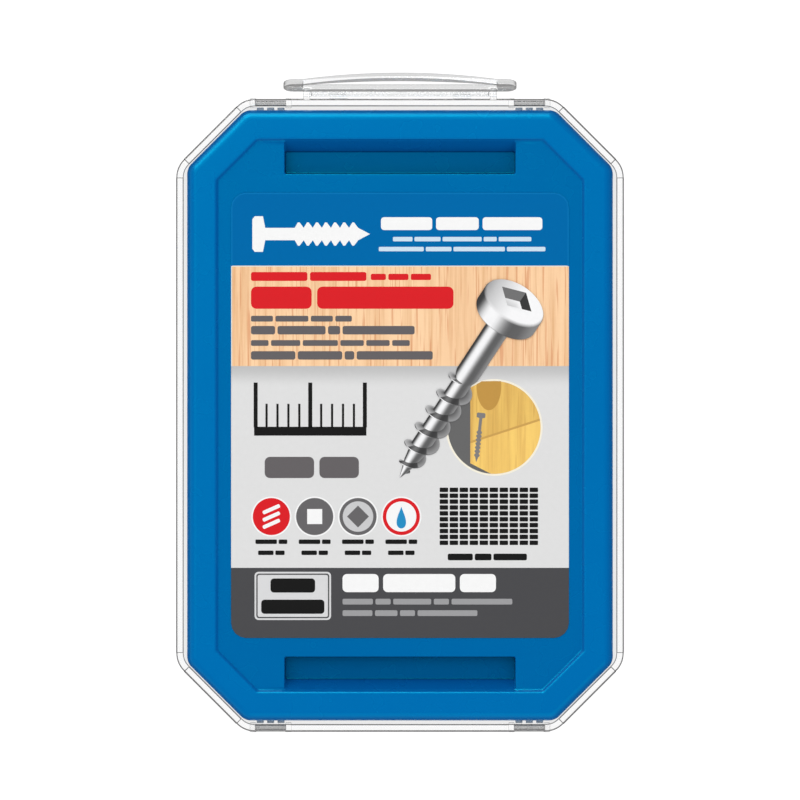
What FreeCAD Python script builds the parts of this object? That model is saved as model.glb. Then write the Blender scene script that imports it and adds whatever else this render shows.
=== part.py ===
import FreeCAD, Part
import math
import os
import random

# A hanging pack of pocket-hole screws: a clear tub, an opaque lid hinged along its low end, a label on the
# lid, a hang tab hinged on the top end, and a hundred screws lying loose in the tub.
# The pack lies on its back. X runs across it, +Y towards the hang tab, +Z out through the lid.
# The origin is the middle of the tub's underside. Sizes are millimetres and degrees.

# Outline of the pack
CASE_WIDTH = 101.5
CASE_LENGTH = 143.5
PACK_HEIGHT = 31.75
CORNER_CUT = 15.4
CORNER_RADIUS = 5.6
LEAST_CORNER_RADIUS = 0.8

# Clear tub
WALL = 1.6
FLOOR = 1.6
FLOOR_EDGE_RADIUS = 2.0
WALL_DRAFT = 1.5
RIM_BELOW_LID_TOP = 4.25
RIM_DEPTH = 4.5
RIM_FLARE = 1.5
RIM_DIP = 2.0

# Lid
LID_WALL = 1.6
LID_SIDE_GAP = 0.95
LID_END_GAP = 1.05
LID_CORNER_GAP = 0.45
LID_EDGE_RADIUS = 1.1
SKIRT_SEAT_GAP = 0.3
FRAME_WIDTH = 6.6
PANEL_DEPTH = 0.85
PANEL_SLOPE = 0.35
POCKET_CORNER_GAP = 6.27
POCKET_WIDTH = 7.9
POCKET_SLOPE = 2.4
POCKET_DEPTH = 3.9
POCKET_DRAFT = 0.3

# Hinge bars on the low end, and the same bars on the top end where the lid snaps
HINGE_CORNER_DISTANCE = 6.05
HINGE_WIDTH = 6.6
HINGE_BAR_RADIUS = 0.6
HINGE_BAR_RISE = 0.3
HINGE_BAR_INSET = 1.05
HINGE_EAR_WIDTH = 1.4
HINGE_EAR_RISE = 0.8
HOOK_COUNT = 3
HOOK_WIDTH = 1.3
HOOK_BACK = 1.0
HOOK_HALF_HEIGHT = 0.9
HOOK_MOUTH = 1.0
HOOK_RUNNING_CLEARANCE = 0.05
HINGE_SWING_GAP = 0.3
LUG_LENGTH = 0.6
LUG_HEIGHT = 1.2

# Label
LABEL_SIDE_MARGIN = 3.4
LABEL_END_MARGIN = 4.25
LABEL_RADIUS = 3.4
LABEL_THICKNESS = 0.2

# Hang tab
TAB_LENGTH = 14.2
TAB_THICKNESS = 1.2
TAB_TILT = 19.9
TAB_NECK_LENGTH = 3.5
TAB_END_WIDTH = 6.3
TAB_END_HEIGHT = 6.0
TAB_END_RADIUS = 2.4
TAB_SLOT_SIDE_MARGIN = 4.5
TAB_SLOT_START = 5.6
TAB_SLOT_END_HEIGHT = 1.5
TAB_ARCH_BAND = 2.5
TAB_BARREL_RADIUS = 0.8
TAB_BARREL_GAP = 0.3
TAB_AXIS_BELOW_RIM = 2.3
TAB_PIN_RADIUS = 0.6
TAB_PIN_LENGTH = 1.5
TAB_PIN_CLEARANCE = 0.05
TAB_EAR_WIDTH = 1.5
TAB_EAR_RADIUS = 1.3
TAB_SIDE_GAP = 0.2
TAB_HINGE_GAP = 2.7
TAB_STOP_GAP = 0.15
TAB_STOP_WIDTH = 4.0
TAB_STOP_INSET = 6.2
TAB_STOP_START = 1.2
TAB_STOP_END = 3.2

# Screws
SCREW_COUNT = 100
SCREW_LENGTH = 25.4
HEAD_RADIUS = 3.95
HEAD_HEIGHT = 3.0
HEAD_SIDES = 10
SHANK_RADIUS = 1.6
SHANK_SIDES = 6
THREAD_RADIUS = 2.0
POINT_LENGTH = 4.4
RECESS_WIDTH = 3.3
RECESS_DEPTH = 1.9
SCREW_GAP = 0.1

# How the heap of screws is laid
HEAP_WALL_GAP = 0.4
HEAP_LID_GAP = 1.0
HEAP_PLACES = 200
HEAP_TRIES = 5
HEAP_MISSES = 20
HEAP_SEED = 2
SETTLING_ROUNDS = 40
SETTLING_TURN = 0.8
STEEPEST_DIP = 1.0

# Sizes that follow from those above
RIM_HEIGHT = PACK_HEIGHT - RIM_BELOW_LID_TOP
LEDGE_HEIGHT = RIM_HEIGHT - RIM_DEPTH
HINGE_SPACING = CASE_WIDTH - 2 * (CORNER_CUT + HINGE_CORNER_DISTANCE)
TAB_EAR_SPACING = HINGE_SPACING - HINGE_WIDTH - 2 * (HINGE_EAR_WIDTH + TAB_HINGE_GAP + TAB_EAR_WIDTH)
TAB_NECK_WIDTH = TAB_EAR_SPACING - 2 * TAB_SIDE_GAP
TAB_LOOP_WIDTH = TAB_NECK_WIDTH + 2 * TAB_END_WIDTH
TAB_SLOT_WIDTH = TAB_LOOP_WIDTH - 2 * TAB_SLOT_SIDE_MARGIN
TAB_STOP_SPACING = TAB_NECK_WIDTH - 2 * TAB_STOP_INSET

RIGHT = FreeCAD.Vector(1, 0, 0)
UP = FreeCAD.Vector(0, 0, 1)
HALF_CORNER = math.tan(math.radians(22.5))


# Outlines and simple solids

def vector(x, y, z=0.0):
    return FreeCAD.Vector(x, y, z)


def rounded_wire(points, radii):
    """A closed wire through the points, with each corner rounded by its radius."""
    count = len(points)
    starts = []
    ends = []
    edges = []
    for i, corner in enumerate(points):
        before = (points[i - 1] - corner).normalize()
        after = (points[(i + 1) % count] - corner).normalize()
        half_angle = math.acos(before.dot(after)) / 2
        reach = radii[i] / math.tan(half_angle)
        middle = (before + after).normalize()
        starts.append(corner + before * reach)
        ends.append(corner + after * reach)
        if radii[i] > 0:
            top = corner + middle * (radii[i] / math.sin(half_angle) - radii[i])
            edges.append(Part.Arc(starts[i], top, ends[i]).toShape())
    for i in range(count):
        if (starts[(i + 1) % count] - ends[i]).Length > 1e-6:
            edges.append(Part.LineSegment(ends[i], starts[(i + 1) % count]).toShape())
    return Part.Wire(Part.__sortEdges__(edges))


def extruded(wire, height):
    return Part.Face(wire).extrude(UP * height)


def block(x, y, z):
    """A box from its low and high limits on each axis."""
    size = [high - low for low, high in (x, y, z)]
    return Part.makeBox(*size, vector(x[0], y[0], z[0]))


def rod(x, y, z, radius, length):
    """A round bar that starts at the point and runs along +X."""
    return Part.makeCylinder(radius, length, vector(x, y, z), RIGHT)


def octagon_points(half_width, half_length, cut, z):
    """The eight corners, anticlockwise from the one at the right end of the low edge."""
    quarter = [(half_width - cut, -half_length), (half_width, -half_length + cut)]
    right = quarter + [(x, -y) for x, y in reversed(quarter)]
    return [vector(x, y, z) for x, y in right + [(-x, -y) for x, y in right]]


def case_outline(inset, z):
    """The pack's outline moved inwards by the same amount on every side."""
    cut = CORNER_CUT - inset * (2 - math.sqrt(2))
    points = octagon_points(CASE_WIDTH / 2 - inset, CASE_LENGTH / 2 - inset, cut, z)
    return rounded_wire(points, [max(CORNER_RADIUS - inset, LEAST_CORNER_RADIUS)] * 8)


def lid_sizes(inset):
    """Half the width, half the length and the corner cut of the lid's outline, moved inwards."""
    half_width = CASE_WIDTH / 2 - WALL - LID_SIDE_GAP
    half_length = CASE_LENGTH / 2 - WALL - LID_END_GAP
    corner_inset = WALL + LID_CORNER_GAP
    corner_line = CASE_WIDTH / 2 + CASE_LENGTH / 2 - CORNER_CUT - corner_inset * math.sqrt(2)
    cut = half_width + half_length - corner_line - inset * (2 - math.sqrt(2))
    return half_width - inset, half_length - inset, cut


def lid_outline(inset, z):
    """The lid's outline inside the tub's rim, moved inwards by the same amount on every side."""
    radius = max(CORNER_RADIUS - WALL - LID_CORNER_GAP - inset, LEAST_CORNER_RADIUS)
    return rounded_wire(octagon_points(*lid_sizes(inset), z), [radius] * 8)


# Clear tub

def lower_inset(z):
    """How far the lower wall's outer face lies inside the rim's at a height."""
    return RIM_FLARE + (LEDGE_HEIGHT - z) * math.tan(math.radians(WALL_DRAFT))


def tub_shell():
    flare_bottom = LEDGE_HEIGHT - WALL
    lower = Part.makeLoft([case_outline(lower_inset(0), 0),
                           case_outline(lower_inset(flare_bottom), flare_bottom)], True, True)
    floor_edges = [e for e in lower.Edges if e.BoundBox.ZMax < 0.01]
    lower = lower.makeFillet(FLOOR_EDGE_RADIUS, floor_edges)
    rim = extruded(case_outline(0, flare_bottom), RIM_HEIGHT - flare_bottom)
    lower_hollow = Part.makeLoft([case_outline(lower_inset(FLOOR) + WALL, FLOOR),
                                  case_outline(lower_inset(LEDGE_HEIGHT) + WALL, LEDGE_HEIGHT)], True, True)
    rim_hollow = extruded(case_outline(WALL, LEDGE_HEIGHT), PACK_HEIGHT)
    return lower.fuse(rim).cut(lower_hollow).cut(rim_hollow)


def rim_dips():
    """Wedges that lower the rim over each of the eight rounded corners."""
    corners = octagon_points(CASE_WIDTH / 2, CASE_LENGTH / 2, CORNER_CUT, RIM_HEIGHT - RIM_DIP)
    tangent = CORNER_RADIUS * HALF_CORNER
    wedges = []
    for i, corner in enumerate(corners):
        before = (corners[i - 1] - corner).normalize()
        after = (corners[(i + 1) % len(corners)] - corner).normalize()
        inward = (before + after).normalize()
        centre = corner + inward * (CORNER_RADIUS / math.cos(math.radians(22.5)))
        start = corner + before * tangent
        end = corner + after * tangent
        outer = [centre + (point - centre) * 2 for point in (start, end)]
        wire = Part.makePolygon([centre, outer[0], corner - inward * CORNER_RADIUS, outer[1], centre])
        wedges.append(extruded(wire, PACK_HEIGHT))
    return wedges


def bar_axis(end):
    """The hinge or snap bar's Y and Z at one end of the pack, -1 for the low end and 1 for the top."""
    return end * (CASE_LENGTH / 2 - HINGE_BAR_INSET), RIM_HEIGHT + HINGE_BAR_RISE


def bar_notch(x, end):
    """The gap in the rim in which the lid's hooks swing."""
    y, z = bar_axis(end)
    swing = math.hypot(HOOK_BACK, HOOK_HALF_HEIGHT)
    through = WALL + HINGE_BAR_INSET
    return block((x - HINGE_WIDTH / 2, x + HINGE_WIDTH / 2), (y - through, y + through),
                 (z - swing - HINGE_SWING_GAP, PACK_HEIGHT))


def bar_with_ears(x, end):
    """A bar across the notch, held by an ear on the rim at each side."""
    y, z = bar_axis(end)
    lefts = (x - HINGE_WIDTH / 2 - HINGE_EAR_WIDTH, x + HINGE_WIDTH / 2)
    ears = [block((left, left + HINGE_EAR_WIDTH), (y - HINGE_BAR_INSET, y + HINGE_BAR_INSET),
                  (RIM_HEIGHT - HINGE_BAR_INSET, z + HINGE_EAR_RISE)) for left in lefts]
    return ears + [rod(x - HINGE_WIDTH / 2, y, z, HINGE_BAR_RADIUS, HINGE_WIDTH)]


def tab_axis():
    """The hang tab's hinge axis, as Y and Z."""
    y = CASE_LENGTH / 2 + TAB_BARREL_GAP + TAB_BARREL_RADIUS
    return y, RIM_HEIGHT - TAB_AXIS_BELOW_RIM


def tab_ears():
    """Two ears on the top end's rim with a bore for the hang tab's pins."""
    y, z = tab_axis()
    start = TAB_EAR_SPACING / 2
    ears = []
    for left in (start, -start - TAB_EAR_WIDTH):
        ear = block((left, left + TAB_EAR_WIDTH), (CASE_LENGTH / 2 - WALL / 2, y + TAB_EAR_RADIUS),
                    (z - TAB_EAR_RADIUS, z + TAB_EAR_RADIUS))
        bore = rod(left, y, z, TAB_PIN_RADIUS + TAB_PIN_CLEARANCE, TAB_EAR_WIDTH)
        ears.append(ear.cut(bore))
    return ears


def clear_tub():
    tub = tub_shell().cut(rim_dips())
    bars = []
    for end in (-1, 1):
        for x in (-HINGE_SPACING / 2, HINGE_SPACING / 2):
            tub = tub.cut(bar_notch(x, end))
            bars += bar_with_ears(x, end)
    return tub.fuse(bars + tab_ears()).removeSplitter()


# Lid

def panel_height():
    return PACK_HEIGHT - PANEL_DEPTH


def skirt_bottom():
    return LEDGE_HEIGHT + SKIRT_SEAT_GAP


def pocket(end, grow):
    """A long pocket against the panel's end, with one sloping side; grown, it is the pocket's outside."""
    half_width, outer, cut = lid_sizes(FRAME_WIDTH)
    inner = outer - POCKET_WIDTH
    top = panel_height() if grow else PACK_HEIGHT
    bottom = panel_height() - POCKET_DEPTH - grow
    half = half_width - cut - POCKET_CORNER_GAP + grow
    profile = [(outer + grow, top), (outer + grow, panel_height()), (outer - POCKET_SLOPE + grow / 2, bottom),
               (inner + POCKET_DRAFT - grow, bottom), (inner - grow, panel_height()), (inner - grow, top)]
    points = [vector(-half, end * y, z) for y, z in profile]
    if points[0] == points[1]:
        points = points[1:-1]
    face = Part.Face(Part.makePolygon(points + points[:1]))
    return face.extrude(RIGHT * 2 * half)


def lid_hooks():
    """Hooks that clip over the low end's two bars and carry the lid."""
    y, z = bar_axis(-1)
    side = -CASE_LENGTH / 2 + WALL + LID_END_GAP
    pitch = (HINGE_WIDTH - HOOK_WIDTH - 2 * HINGE_SWING_GAP) / (HOOK_COUNT - 1)
    hooks = []
    for x in (-HINGE_SPACING / 2, HINGE_SPACING / 2):
        for i in range(HOOK_COUNT):
            left = x - HINGE_WIDTH / 2 + HINGE_SWING_GAP + i * pitch
            across = (left, left + HOOK_WIDTH)
            arm = block(across, (y - HOOK_BACK, side + LID_WALL / 2), (z - HOOK_HALF_HEIGHT, z + HOOK_HALF_HEIGHT))
            bore = rod(left, y, z, HINGE_BAR_RADIUS + HOOK_RUNNING_CLEARANCE, HOOK_WIDTH)
            mouth = block(across, (y - HOOK_BACK, y), (z - HOOK_MOUTH / 2, z + HOOK_MOUTH / 2))
            hooks.append(arm.cut([bore, mouth]))
    return hooks


def lid_lugs():
    """Short ribs on the lid's top end that snap past the two bars there."""
    _, z = bar_axis(1)
    side = CASE_LENGTH / 2 - WALL - LID_END_GAP
    pitch = (HINGE_WIDTH - HOOK_WIDTH - 2 * HINGE_SWING_GAP) / (HOOK_COUNT - 1)
    lugs = []
    for x in (-HINGE_SPACING / 2, HINGE_SPACING / 2):
        for i in range(HOOK_COUNT):
            left = x - HINGE_WIDTH / 2 + HINGE_SWING_GAP + i * pitch
            lugs.append(block((left, left + HOOK_WIDTH), (side - LID_WALL / 2, side + LUG_LENGTH),
                              (z - LUG_HEIGHT / 2, z + LUG_HEIGHT / 2)))
    return lugs


def lid():
    shell = extruded(lid_outline(0, skirt_bottom()), PACK_HEIGHT - skirt_bottom())
    top_edges = [e for e in shell.Edges if e.BoundBox.ZMin > PACK_HEIGHT - 0.01]
    shell = shell.makeFillet(LID_EDGE_RADIUS, top_edges)
    recess = Part.makeLoft([lid_outline(FRAME_WIDTH + PANEL_SLOPE, panel_height()),
                            lid_outline(FRAME_WIDTH, PACK_HEIGHT)], True, True)
    hollow = extruded(lid_outline(LID_WALL, 0), PACK_HEIGHT - LID_WALL)
    panel_block = extruded(lid_outline(FRAME_WIDTH - LID_WALL, panel_height() - LID_WALL), PANEL_DEPTH)
    pockets = [pocket(end, 0) for end in (-1, 1)]
    pocket_shells = [pocket(end, LID_WALL) for end in (-1, 1)]
    shell = shell.cut(hollow.cut([panel_block] + pocket_shells))
    shell = shell.cut([recess] + pockets)
    return shell.fuse(lid_hooks() + lid_lugs()).removeSplitter()


def front_label():
    panel_half_width, panel_half_length, _ = lid_sizes(FRAME_WIDTH)
    half_width = panel_half_width - LABEL_SIDE_MARGIN
    half_length = panel_half_length - POCKET_WIDTH - LABEL_END_MARGIN
    z = panel_height()
    corners = [vector(-half_width, -half_length, z), vector(half_width, -half_length, z),
               vector(half_width, half_length, z), vector(-half_width, half_length, z)]
    return extruded(rounded_wire(corners, [LABEL_RADIUS] * 4), LABEL_THICKNESS)


# Hang tab, drawn flat with its hinge axis on X and its length along +Y, then turned down beside the wall

def arch_edge(half_width, end_y, crest_y):
    return Part.Arc(vector(half_width, end_y), vector(0, crest_y), vector(-half_width, end_y)).toShape()


def tab_plate():
    shoulder = TAB_NECK_LENGTH + TAB_END_HEIGHT
    half = TAB_LOOP_WIDTH / 2
    arch_half = TAB_SLOT_WIDTH / 2
    loop = extruded(rounded_wire([vector(-half, TAB_NECK_LENGTH), vector(half, TAB_NECK_LENGTH),
                                  vector(half, shoulder), vector(-half, shoulder)],
                                 [TAB_END_RADIUS] * 4), TAB_THICKNESS)
    crown = [arch_edge(arch_half, shoulder, TAB_LENGTH),
             Part.LineSegment(vector(-arch_half, shoulder), vector(arch_half, shoulder)).toShape()]
    crown = extruded(Part.Wire(crown), TAB_THICKNESS)
    neck = block((-TAB_NECK_WIDTH / 2, TAB_NECK_WIDTH / 2), (0, TAB_SLOT_START), (0, TAB_THICKNESS))
    slot_top = TAB_SLOT_START + TAB_SLOT_END_HEIGHT
    slot = [arch_edge(arch_half, slot_top, TAB_LENGTH - TAB_ARCH_BAND),
            Part.LineSegment(vector(-arch_half, slot_top), vector(-arch_half, TAB_SLOT_START)).toShape(),
            Part.LineSegment(vector(-arch_half, TAB_SLOT_START), vector(arch_half, TAB_SLOT_START)).toShape(),
            Part.LineSegment(vector(arch_half, TAB_SLOT_START), vector(arch_half, slot_top)).toShape()]
    slot = extruded(Part.Wire(slot), TAB_THICKNESS)
    plate = loop.fuse([crown, neck]).cut(slot)
    plate.translate(UP * (-TAB_THICKNESS / 2))
    return plate


def tab_stop(x):
    """A heel on the tab's back that lies along the wall when the tab hangs."""
    lean = math.radians(TAB_TILT)
    out = TAB_BARREL_GAP + TAB_BARREL_RADIUS - TAB_STOP_GAP
    reach = [(out + s * math.sin(lean)) / math.cos(lean) for s in (TAB_STOP_START, TAB_STOP_END)]
    left = x - TAB_STOP_WIDTH / 2
    points = [vector(left, TAB_STOP_START, 0), vector(left, TAB_STOP_START, -reach[0]),
              vector(left, TAB_STOP_END, -reach[1]), vector(left, TAB_STOP_END, 0)]
    return Part.Face(Part.makePolygon(points + points[:1])).extrude(RIGHT * TAB_STOP_WIDTH)


def hang_tab():
    half_neck = TAB_NECK_WIDTH / 2
    pin_reach = TAB_EAR_SPACING / 2 + TAB_PIN_LENGTH
    barrel = rod(-half_neck, 0, 0, TAB_BARREL_RADIUS, TAB_NECK_WIDTH)
    pins = rod(-pin_reach, 0, 0, TAB_PIN_RADIUS, 2 * pin_reach)
    stops = [tab_stop(x) for x in (-TAB_STOP_SPACING / 2, TAB_STOP_SPACING / 2)]
    tab = tab_plate().fuse([barrel, pins] + stops).removeSplitter()
    y, z = tab_axis()
    tab.rotate(vector(0, 0, 0), RIGHT, TAB_TILT - 90)
    tab.translate(vector(0, y, z))
    return tab


# Screws. One has its head's top at the origin and its point along +X.

def ring_of(sides, radius, x):
    angles = [2 * math.pi * k / sides for k in range(sides)]
    return [vector(x, radius * math.cos(a), radius * math.sin(a)) for a in angles]


def prism(sides, radius, start, length):
    points = ring_of(sides, radius, start)
    return Part.Face(Part.makePolygon(points + points[:1])).extrude(RIGHT * length)


def screw():
    """A pan-head screw with a square recess. Flats stand for its round sides, and the thread is left off."""
    head = prism(HEAD_SIDES, HEAD_RADIUS, 0, HEAD_HEIGHT)
    half = RECESS_WIDTH / 2
    recess = block((0, RECESS_DEPTH), (-half, half), (-half, half))
    straight = SCREW_LENGTH - POINT_LENGTH
    corner_radius = SHANK_RADIUS / math.cos(math.pi / SHANK_SIDES)
    shank = prism(SHANK_SIDES, corner_radius, HEAD_HEIGHT, straight)
    ring = ring_of(SHANK_SIDES, corner_radius, HEAD_HEIGHT + straight)
    tip = vector(HEAD_HEIGHT + SCREW_LENGTH, 0, 0)
    faces = [Part.Face(Part.makePolygon([a, b, tip, a])) for a, b in zip(ring, ring[1:] + ring[:1])]
    faces.append(Part.Face(Part.makePolygon(ring + ring[:1])))
    point = Part.Solid(Part.Shell(faces))
    return head.cut(recess).fuse([shank, point]).removeSplitter()


# The heap: each screw is let down onto the floor and the screws below it, then tips until both ends rest.
# A pose is the head's top centre, the heading in plan and the dip of the point.

BODY_END = HEAD_HEIGHT + SCREW_LENGTH - THREAD_RADIUS
BALANCE = 0.4 * (HEAD_HEIGHT + SCREW_LENGTH)


def along(origin, direction, distance):
    return tuple(o + distance * d for o, d in zip(origin, direction))


def dot(a, b):
    return a[0] * b[0] + a[1] * b[1] + a[2] * b[2]


def between(a, b):
    return (b[0] - a[0], b[1] - a[1], b[2] - a[2])


def posed(x, y, z, heading, dip):
    """The screw's axis and the corners of its head at a pose."""
    cos_h, sin_h = math.cos(heading), math.sin(heading)
    cos_d, sin_d = math.cos(dip), math.sin(dip)
    axis = (cos_d * cos_h, cos_d * sin_h, -sin_d)
    side = (-sin_h, cos_h, 0.0)
    over = (sin_d * cos_h, sin_d * sin_h, cos_d)
    top = (x, y, z)
    corners = []
    for k in range(HEAD_SIDES):
        angle = 2 * math.pi * k / HEAD_SIDES
        across = HEAD_RADIUS * math.cos(angle)
        rise = HEAD_RADIUS * math.sin(angle)
        rim = tuple(top[i] + across * side[i] + rise * over[i] for i in range(3))
        corners += [rim, along(rim, axis, HEAD_HEIGHT)]
    return {"pose": (x, y, z, heading, dip), "axis": axis, "top": top, "corners": corners,
            "head": along(top, axis, HEAD_HEIGHT / 2), "neck": along(top, axis, HEAD_HEIGHT),
            "end": along(top, axis, BODY_END), "middle": along(top, axis, BALANCE)}


def to_segment(point, start, axis, length):
    """Distance from a point to a segment, and how far along it the nearest point is."""
    offset = between(start, point)
    t = min(max(dot(offset, axis), 0.0), length)
    near = along(start, axis, t)
    gap = between(near, point)
    return math.sqrt(dot(gap, gap)), t


def to_head(point, other):
    """Signed distance from a point to another screw's head."""
    offset = between(other["head"], point)
    t = dot(offset, other["axis"])
    radial = math.sqrt(max(dot(offset, offset) - t * t, 0.0)) - HEAD_RADIUS
    axial = abs(t) - HEAD_HEIGHT / 2
    outside = math.hypot(max(radial, 0.0), max(axial, 0.0))
    return outside + min(max(radial, axial), 0.0)


def segments_apart(a, b, length):
    """Distance between two screws' shanks, and how far along the first it is."""
    offset = between(b["neck"], a["neck"])
    slant = dot(a["axis"], b["axis"])
    first = dot(a["axis"], offset)
    second = dot(b["axis"], offset)
    spread = 1 - slant * slant
    t = min(max((slant * second - first) / spread, 0.0), length) if spread > 1e-6 else 0.0
    u = min(max(slant * t + second, 0.0), length)
    t = min(max(slant * u - first, 0.0), length)
    gap = between(along(a["neck"], a["axis"], t), along(b["neck"], b["axis"], u))
    return math.sqrt(dot(gap, gap)), t


def spots_near(at, length):
    """Three places along a shank: the one given and one on each side of it."""
    return [min(max(at + step, 0.0), length) for step in (-HEAD_HEIGHT, 0, HEAD_HEIGHT)]


def clearance(a, b, near):
    """The least distance from the first screw's head half and point half to the second screw."""
    length = BODY_END - HEAD_HEIGHT
    split = BALANCE - HEAD_HEIGHT
    ends = [near[0], near[1]]

    def note(distance, at):
        side = 0 if at < split else 1
        ends[side] = min(ends[side], distance)

    gap, at = segments_apart(a, b, length)
    note(gap - 2 * THREAD_RADIUS, at)
    reach = math.hypot(HEAD_RADIUS, HEAD_HEIGHT / 2)
    gap, at = to_segment(a["head"], b["neck"], b["axis"], length)
    if gap - reach - THREAD_RADIUS < ends[0]:
        for corner in a["corners"]:
            note(to_segment(corner, b["neck"], b["axis"], length)[0] - THREAD_RADIUS, 0.0)
        for spot in spots_near(at, length):
            note(to_head(along(b["neck"], b["axis"], spot), a) - THREAD_RADIUS, 0.0)
    gap, at = to_segment(b["head"], a["neck"], a["axis"], length)
    if gap - reach - THREAD_RADIUS < max(ends):
        for corner in b["corners"]:
            distance, spot = to_segment(corner, a["neck"], a["axis"], length)
            note(distance - THREAD_RADIUS, spot)
        for spot in spots_near(at, length):
            note(to_head(along(a["neck"], a["axis"], spot), b) - THREAD_RADIUS, spot)
    gap = between(a["head"], b["head"])
    if math.sqrt(dot(gap, gap)) - 2 * reach < ends[0]:
        for corner in a["corners"]:
            note(to_head(corner, b), 0.0)
        for corner in b["corners"]:
            note(to_head(corner, a), 0.0)
    return ends


def room_below(screw_pose, neighbours):
    """The clear distance under the head half and the point half."""
    head = min(corner[2] for corner in screw_pose["corners"]) - FLOOR
    thread_end = along(screw_pose["top"], screw_pose["axis"], HEAD_HEIGHT + SCREW_LENGTH - POINT_LENGTH)
    tip = along(screw_pose["top"], screw_pose["axis"], HEAD_HEIGHT + SCREW_LENGTH)
    point = min(thread_end[2] - THREAD_RADIUS, tip[2]) - FLOOR
    ends = [head, point]
    for other in neighbours:
        ends = clearance(screw_pose, other, ends)
    return ends


def inside_walls(screw_pose):
    """Whether the whole screw stands clear of the tub's inner wall."""
    inset = lower_inset(FLOOR) + WALL + HEAP_WALL_GAP
    half_width = CASE_WIDTH / 2 - inset
    half_length = CASE_LENGTH / 2 - inset
    corner_line = CASE_WIDTH / 2 + CASE_LENGTH / 2 - CORNER_CUT - inset * math.sqrt(2)
    tip = along(screw_pose["top"], screw_pose["axis"], HEAD_HEIGHT + SCREW_LENGTH)
    spots = [(corner, 0.0) for corner in screw_pose["corners"]] + [(screw_pose["end"], THREAD_RADIUS), (tip, 0.0)]
    for (x, y, _), radius in spots:
        if abs(x) + radius > half_width or abs(y) + radius > half_length:
            return False
        if abs(x) + abs(y) + radius * math.sqrt(2) > corner_line:
            return False
    return True


def let_down(x, y, heading, top_height, placed):
    """Lower and tip one screw until it rests, or None if it ends against a wall or on its end."""
    whole = HEAD_HEIGHT + SCREW_LENGTH
    dip = math.asin((HEAD_RADIUS - THREAD_RADIUS) / (SCREW_LENGTH - POINT_LENGTH))
    screw_pose = posed(x, y, top_height, heading, dip)
    if not inside_walls(screw_pose):
        return None
    close = [o for o in placed if math.dist(o["middle"][:2], screw_pose["middle"][:2]) < whole + HEAD_RADIUS]
    for _ in range(SETTLING_ROUNDS):
        head, point = room_below(screw_pose, close)
        x, y, z, heading, dip = screw_pose["pose"]
        if min(head, point) < SCREW_GAP / 2:
            screw_pose = posed(x, y, z + SCREW_GAP - min(head, point), heading, dip)
            if max(head, point) < 4 * SCREW_GAP:
                break
            head = head + SCREW_GAP
            point = point + SCREW_GAP
        x, y, z, heading, dip = screw_pose["pose"]
        if head > 2 * SCREW_GAP and point > 2 * SCREW_GAP:
            screw_pose = posed(x, y, z - min(head, point) + SCREW_GAP, heading, dip)
        elif point > head:
            screw_pose = posed(x, y, z, heading, dip + SETTLING_TURN * (point - SCREW_GAP) / whole)
        else:
            turn = SETTLING_TURN * (head - SCREW_GAP) / whole
            tip = along(screw_pose["top"], screw_pose["axis"], whole)
            turned = posed(x, y, z, heading, dip - turn)
            new_tip = along(turned["top"], turned["axis"], whole)
            shift = between(new_tip, tip)
            screw_pose = posed(x + shift[0], y + shift[1], z + shift[2], heading, dip - turn)
        if abs(screw_pose["pose"][4]) > STEEPEST_DIP:
            return None
    x, y, z, heading, dip = screw_pose["pose"]
    screw_pose = posed(x, y, z + SCREW_GAP - min(room_below(screw_pose, close)), heading, dip)
    return screw_pose if inside_walls(screw_pose) else None


def plan_height(flat, placed):
    """The top of the highest screw that lies under a heading and place in plan, or the floor."""
    length = BODY_END - HEAD_HEIGHT
    height = FLOOR
    for other in placed:
        under = other["flat"]
        if other["crest"] <= height or math.dist(flat["middle"], under["middle"]) > length + 2 * HEAD_RADIUS:
            continue
        if (segments_apart(flat, under, length)[0] < 2 * THREAD_RADIUS
                or to_segment(flat["head"], under["neck"], under["axis"], length)[0] < HEAD_RADIUS + THREAD_RADIUS
                or to_segment(under["head"], flat["neck"], flat["axis"], length)[0] < HEAD_RADIUS + THREAD_RADIUS
                or math.dist(flat["head"], under["head"]) < 2 * HEAD_RADIUS):
            height = other["crest"]
    return height


def heap_poses():
    """Each screw is dropped where the heap is low: the lowest in plan of many places, then the lowest at rest."""
    chance = random.Random(HEAP_SEED)
    room = panel_height() - POCKET_DEPTH - LID_WALL - HEAP_LID_GAP
    placed = []
    misses = 0
    while len(placed) < SCREW_COUNT and misses < HEAP_MISSES:
        places = []
        while len(places) < HEAP_PLACES:
            x = chance.uniform(-CASE_WIDTH / 2, CASE_WIDTH / 2)
            y = chance.uniform(-CASE_LENGTH / 2, CASE_LENGTH / 2)
            flat = posed(x, y, 0, chance.uniform(-math.pi, math.pi), 0)
            if inside_walls(flat):
                places.append((plan_height(flat, placed), len(places), flat))
        rested = []
        for height, _, flat in sorted(places)[:HEAP_TRIES]:
            x, y, _, heading, _ = flat["pose"]
            screw_pose = let_down(x, y, heading, height + 2 * HEAD_RADIUS, placed)
            if screw_pose:
                screw_pose["flat"] = flat
                screw_pose["crest"] = max(spot[2] for spot in screw_pose["corners"] + [screw_pose["end"]])
                rested.append((screw_pose["crest"], len(rested), screw_pose))
        if rested and min(rested)[0] < room:
            placed.append(min(rested)[2])
        else:
            misses += 1
    return [screw_pose["pose"] for screw_pose in placed]


def screws():
    one = screw()
    solids = []
    for x, y, z, heading, dip in heap_poses():
        turned = one.copy()
        turned.rotate(vector(0, 0, 0), vector(0, 1, 0), math.degrees(dip))
        turned.rotate(vector(0, 0, 0), UP, math.degrees(heading))
        turned.translate(vector(x, y, z))
        solids.append(turned)
    return Part.makeCompound(solids)


os.makedirs("parts", exist_ok=True)
for node in (clear_tub, lid, front_label, hang_tab, screws):
    node().exportStep("parts/" + node.__name__ + ".step")
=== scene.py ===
import math

import bmesh
import bpy
import numpy as np
from mathutils import Matrix, Vector
from mathutils.geometry import tessellate_polygon


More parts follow.
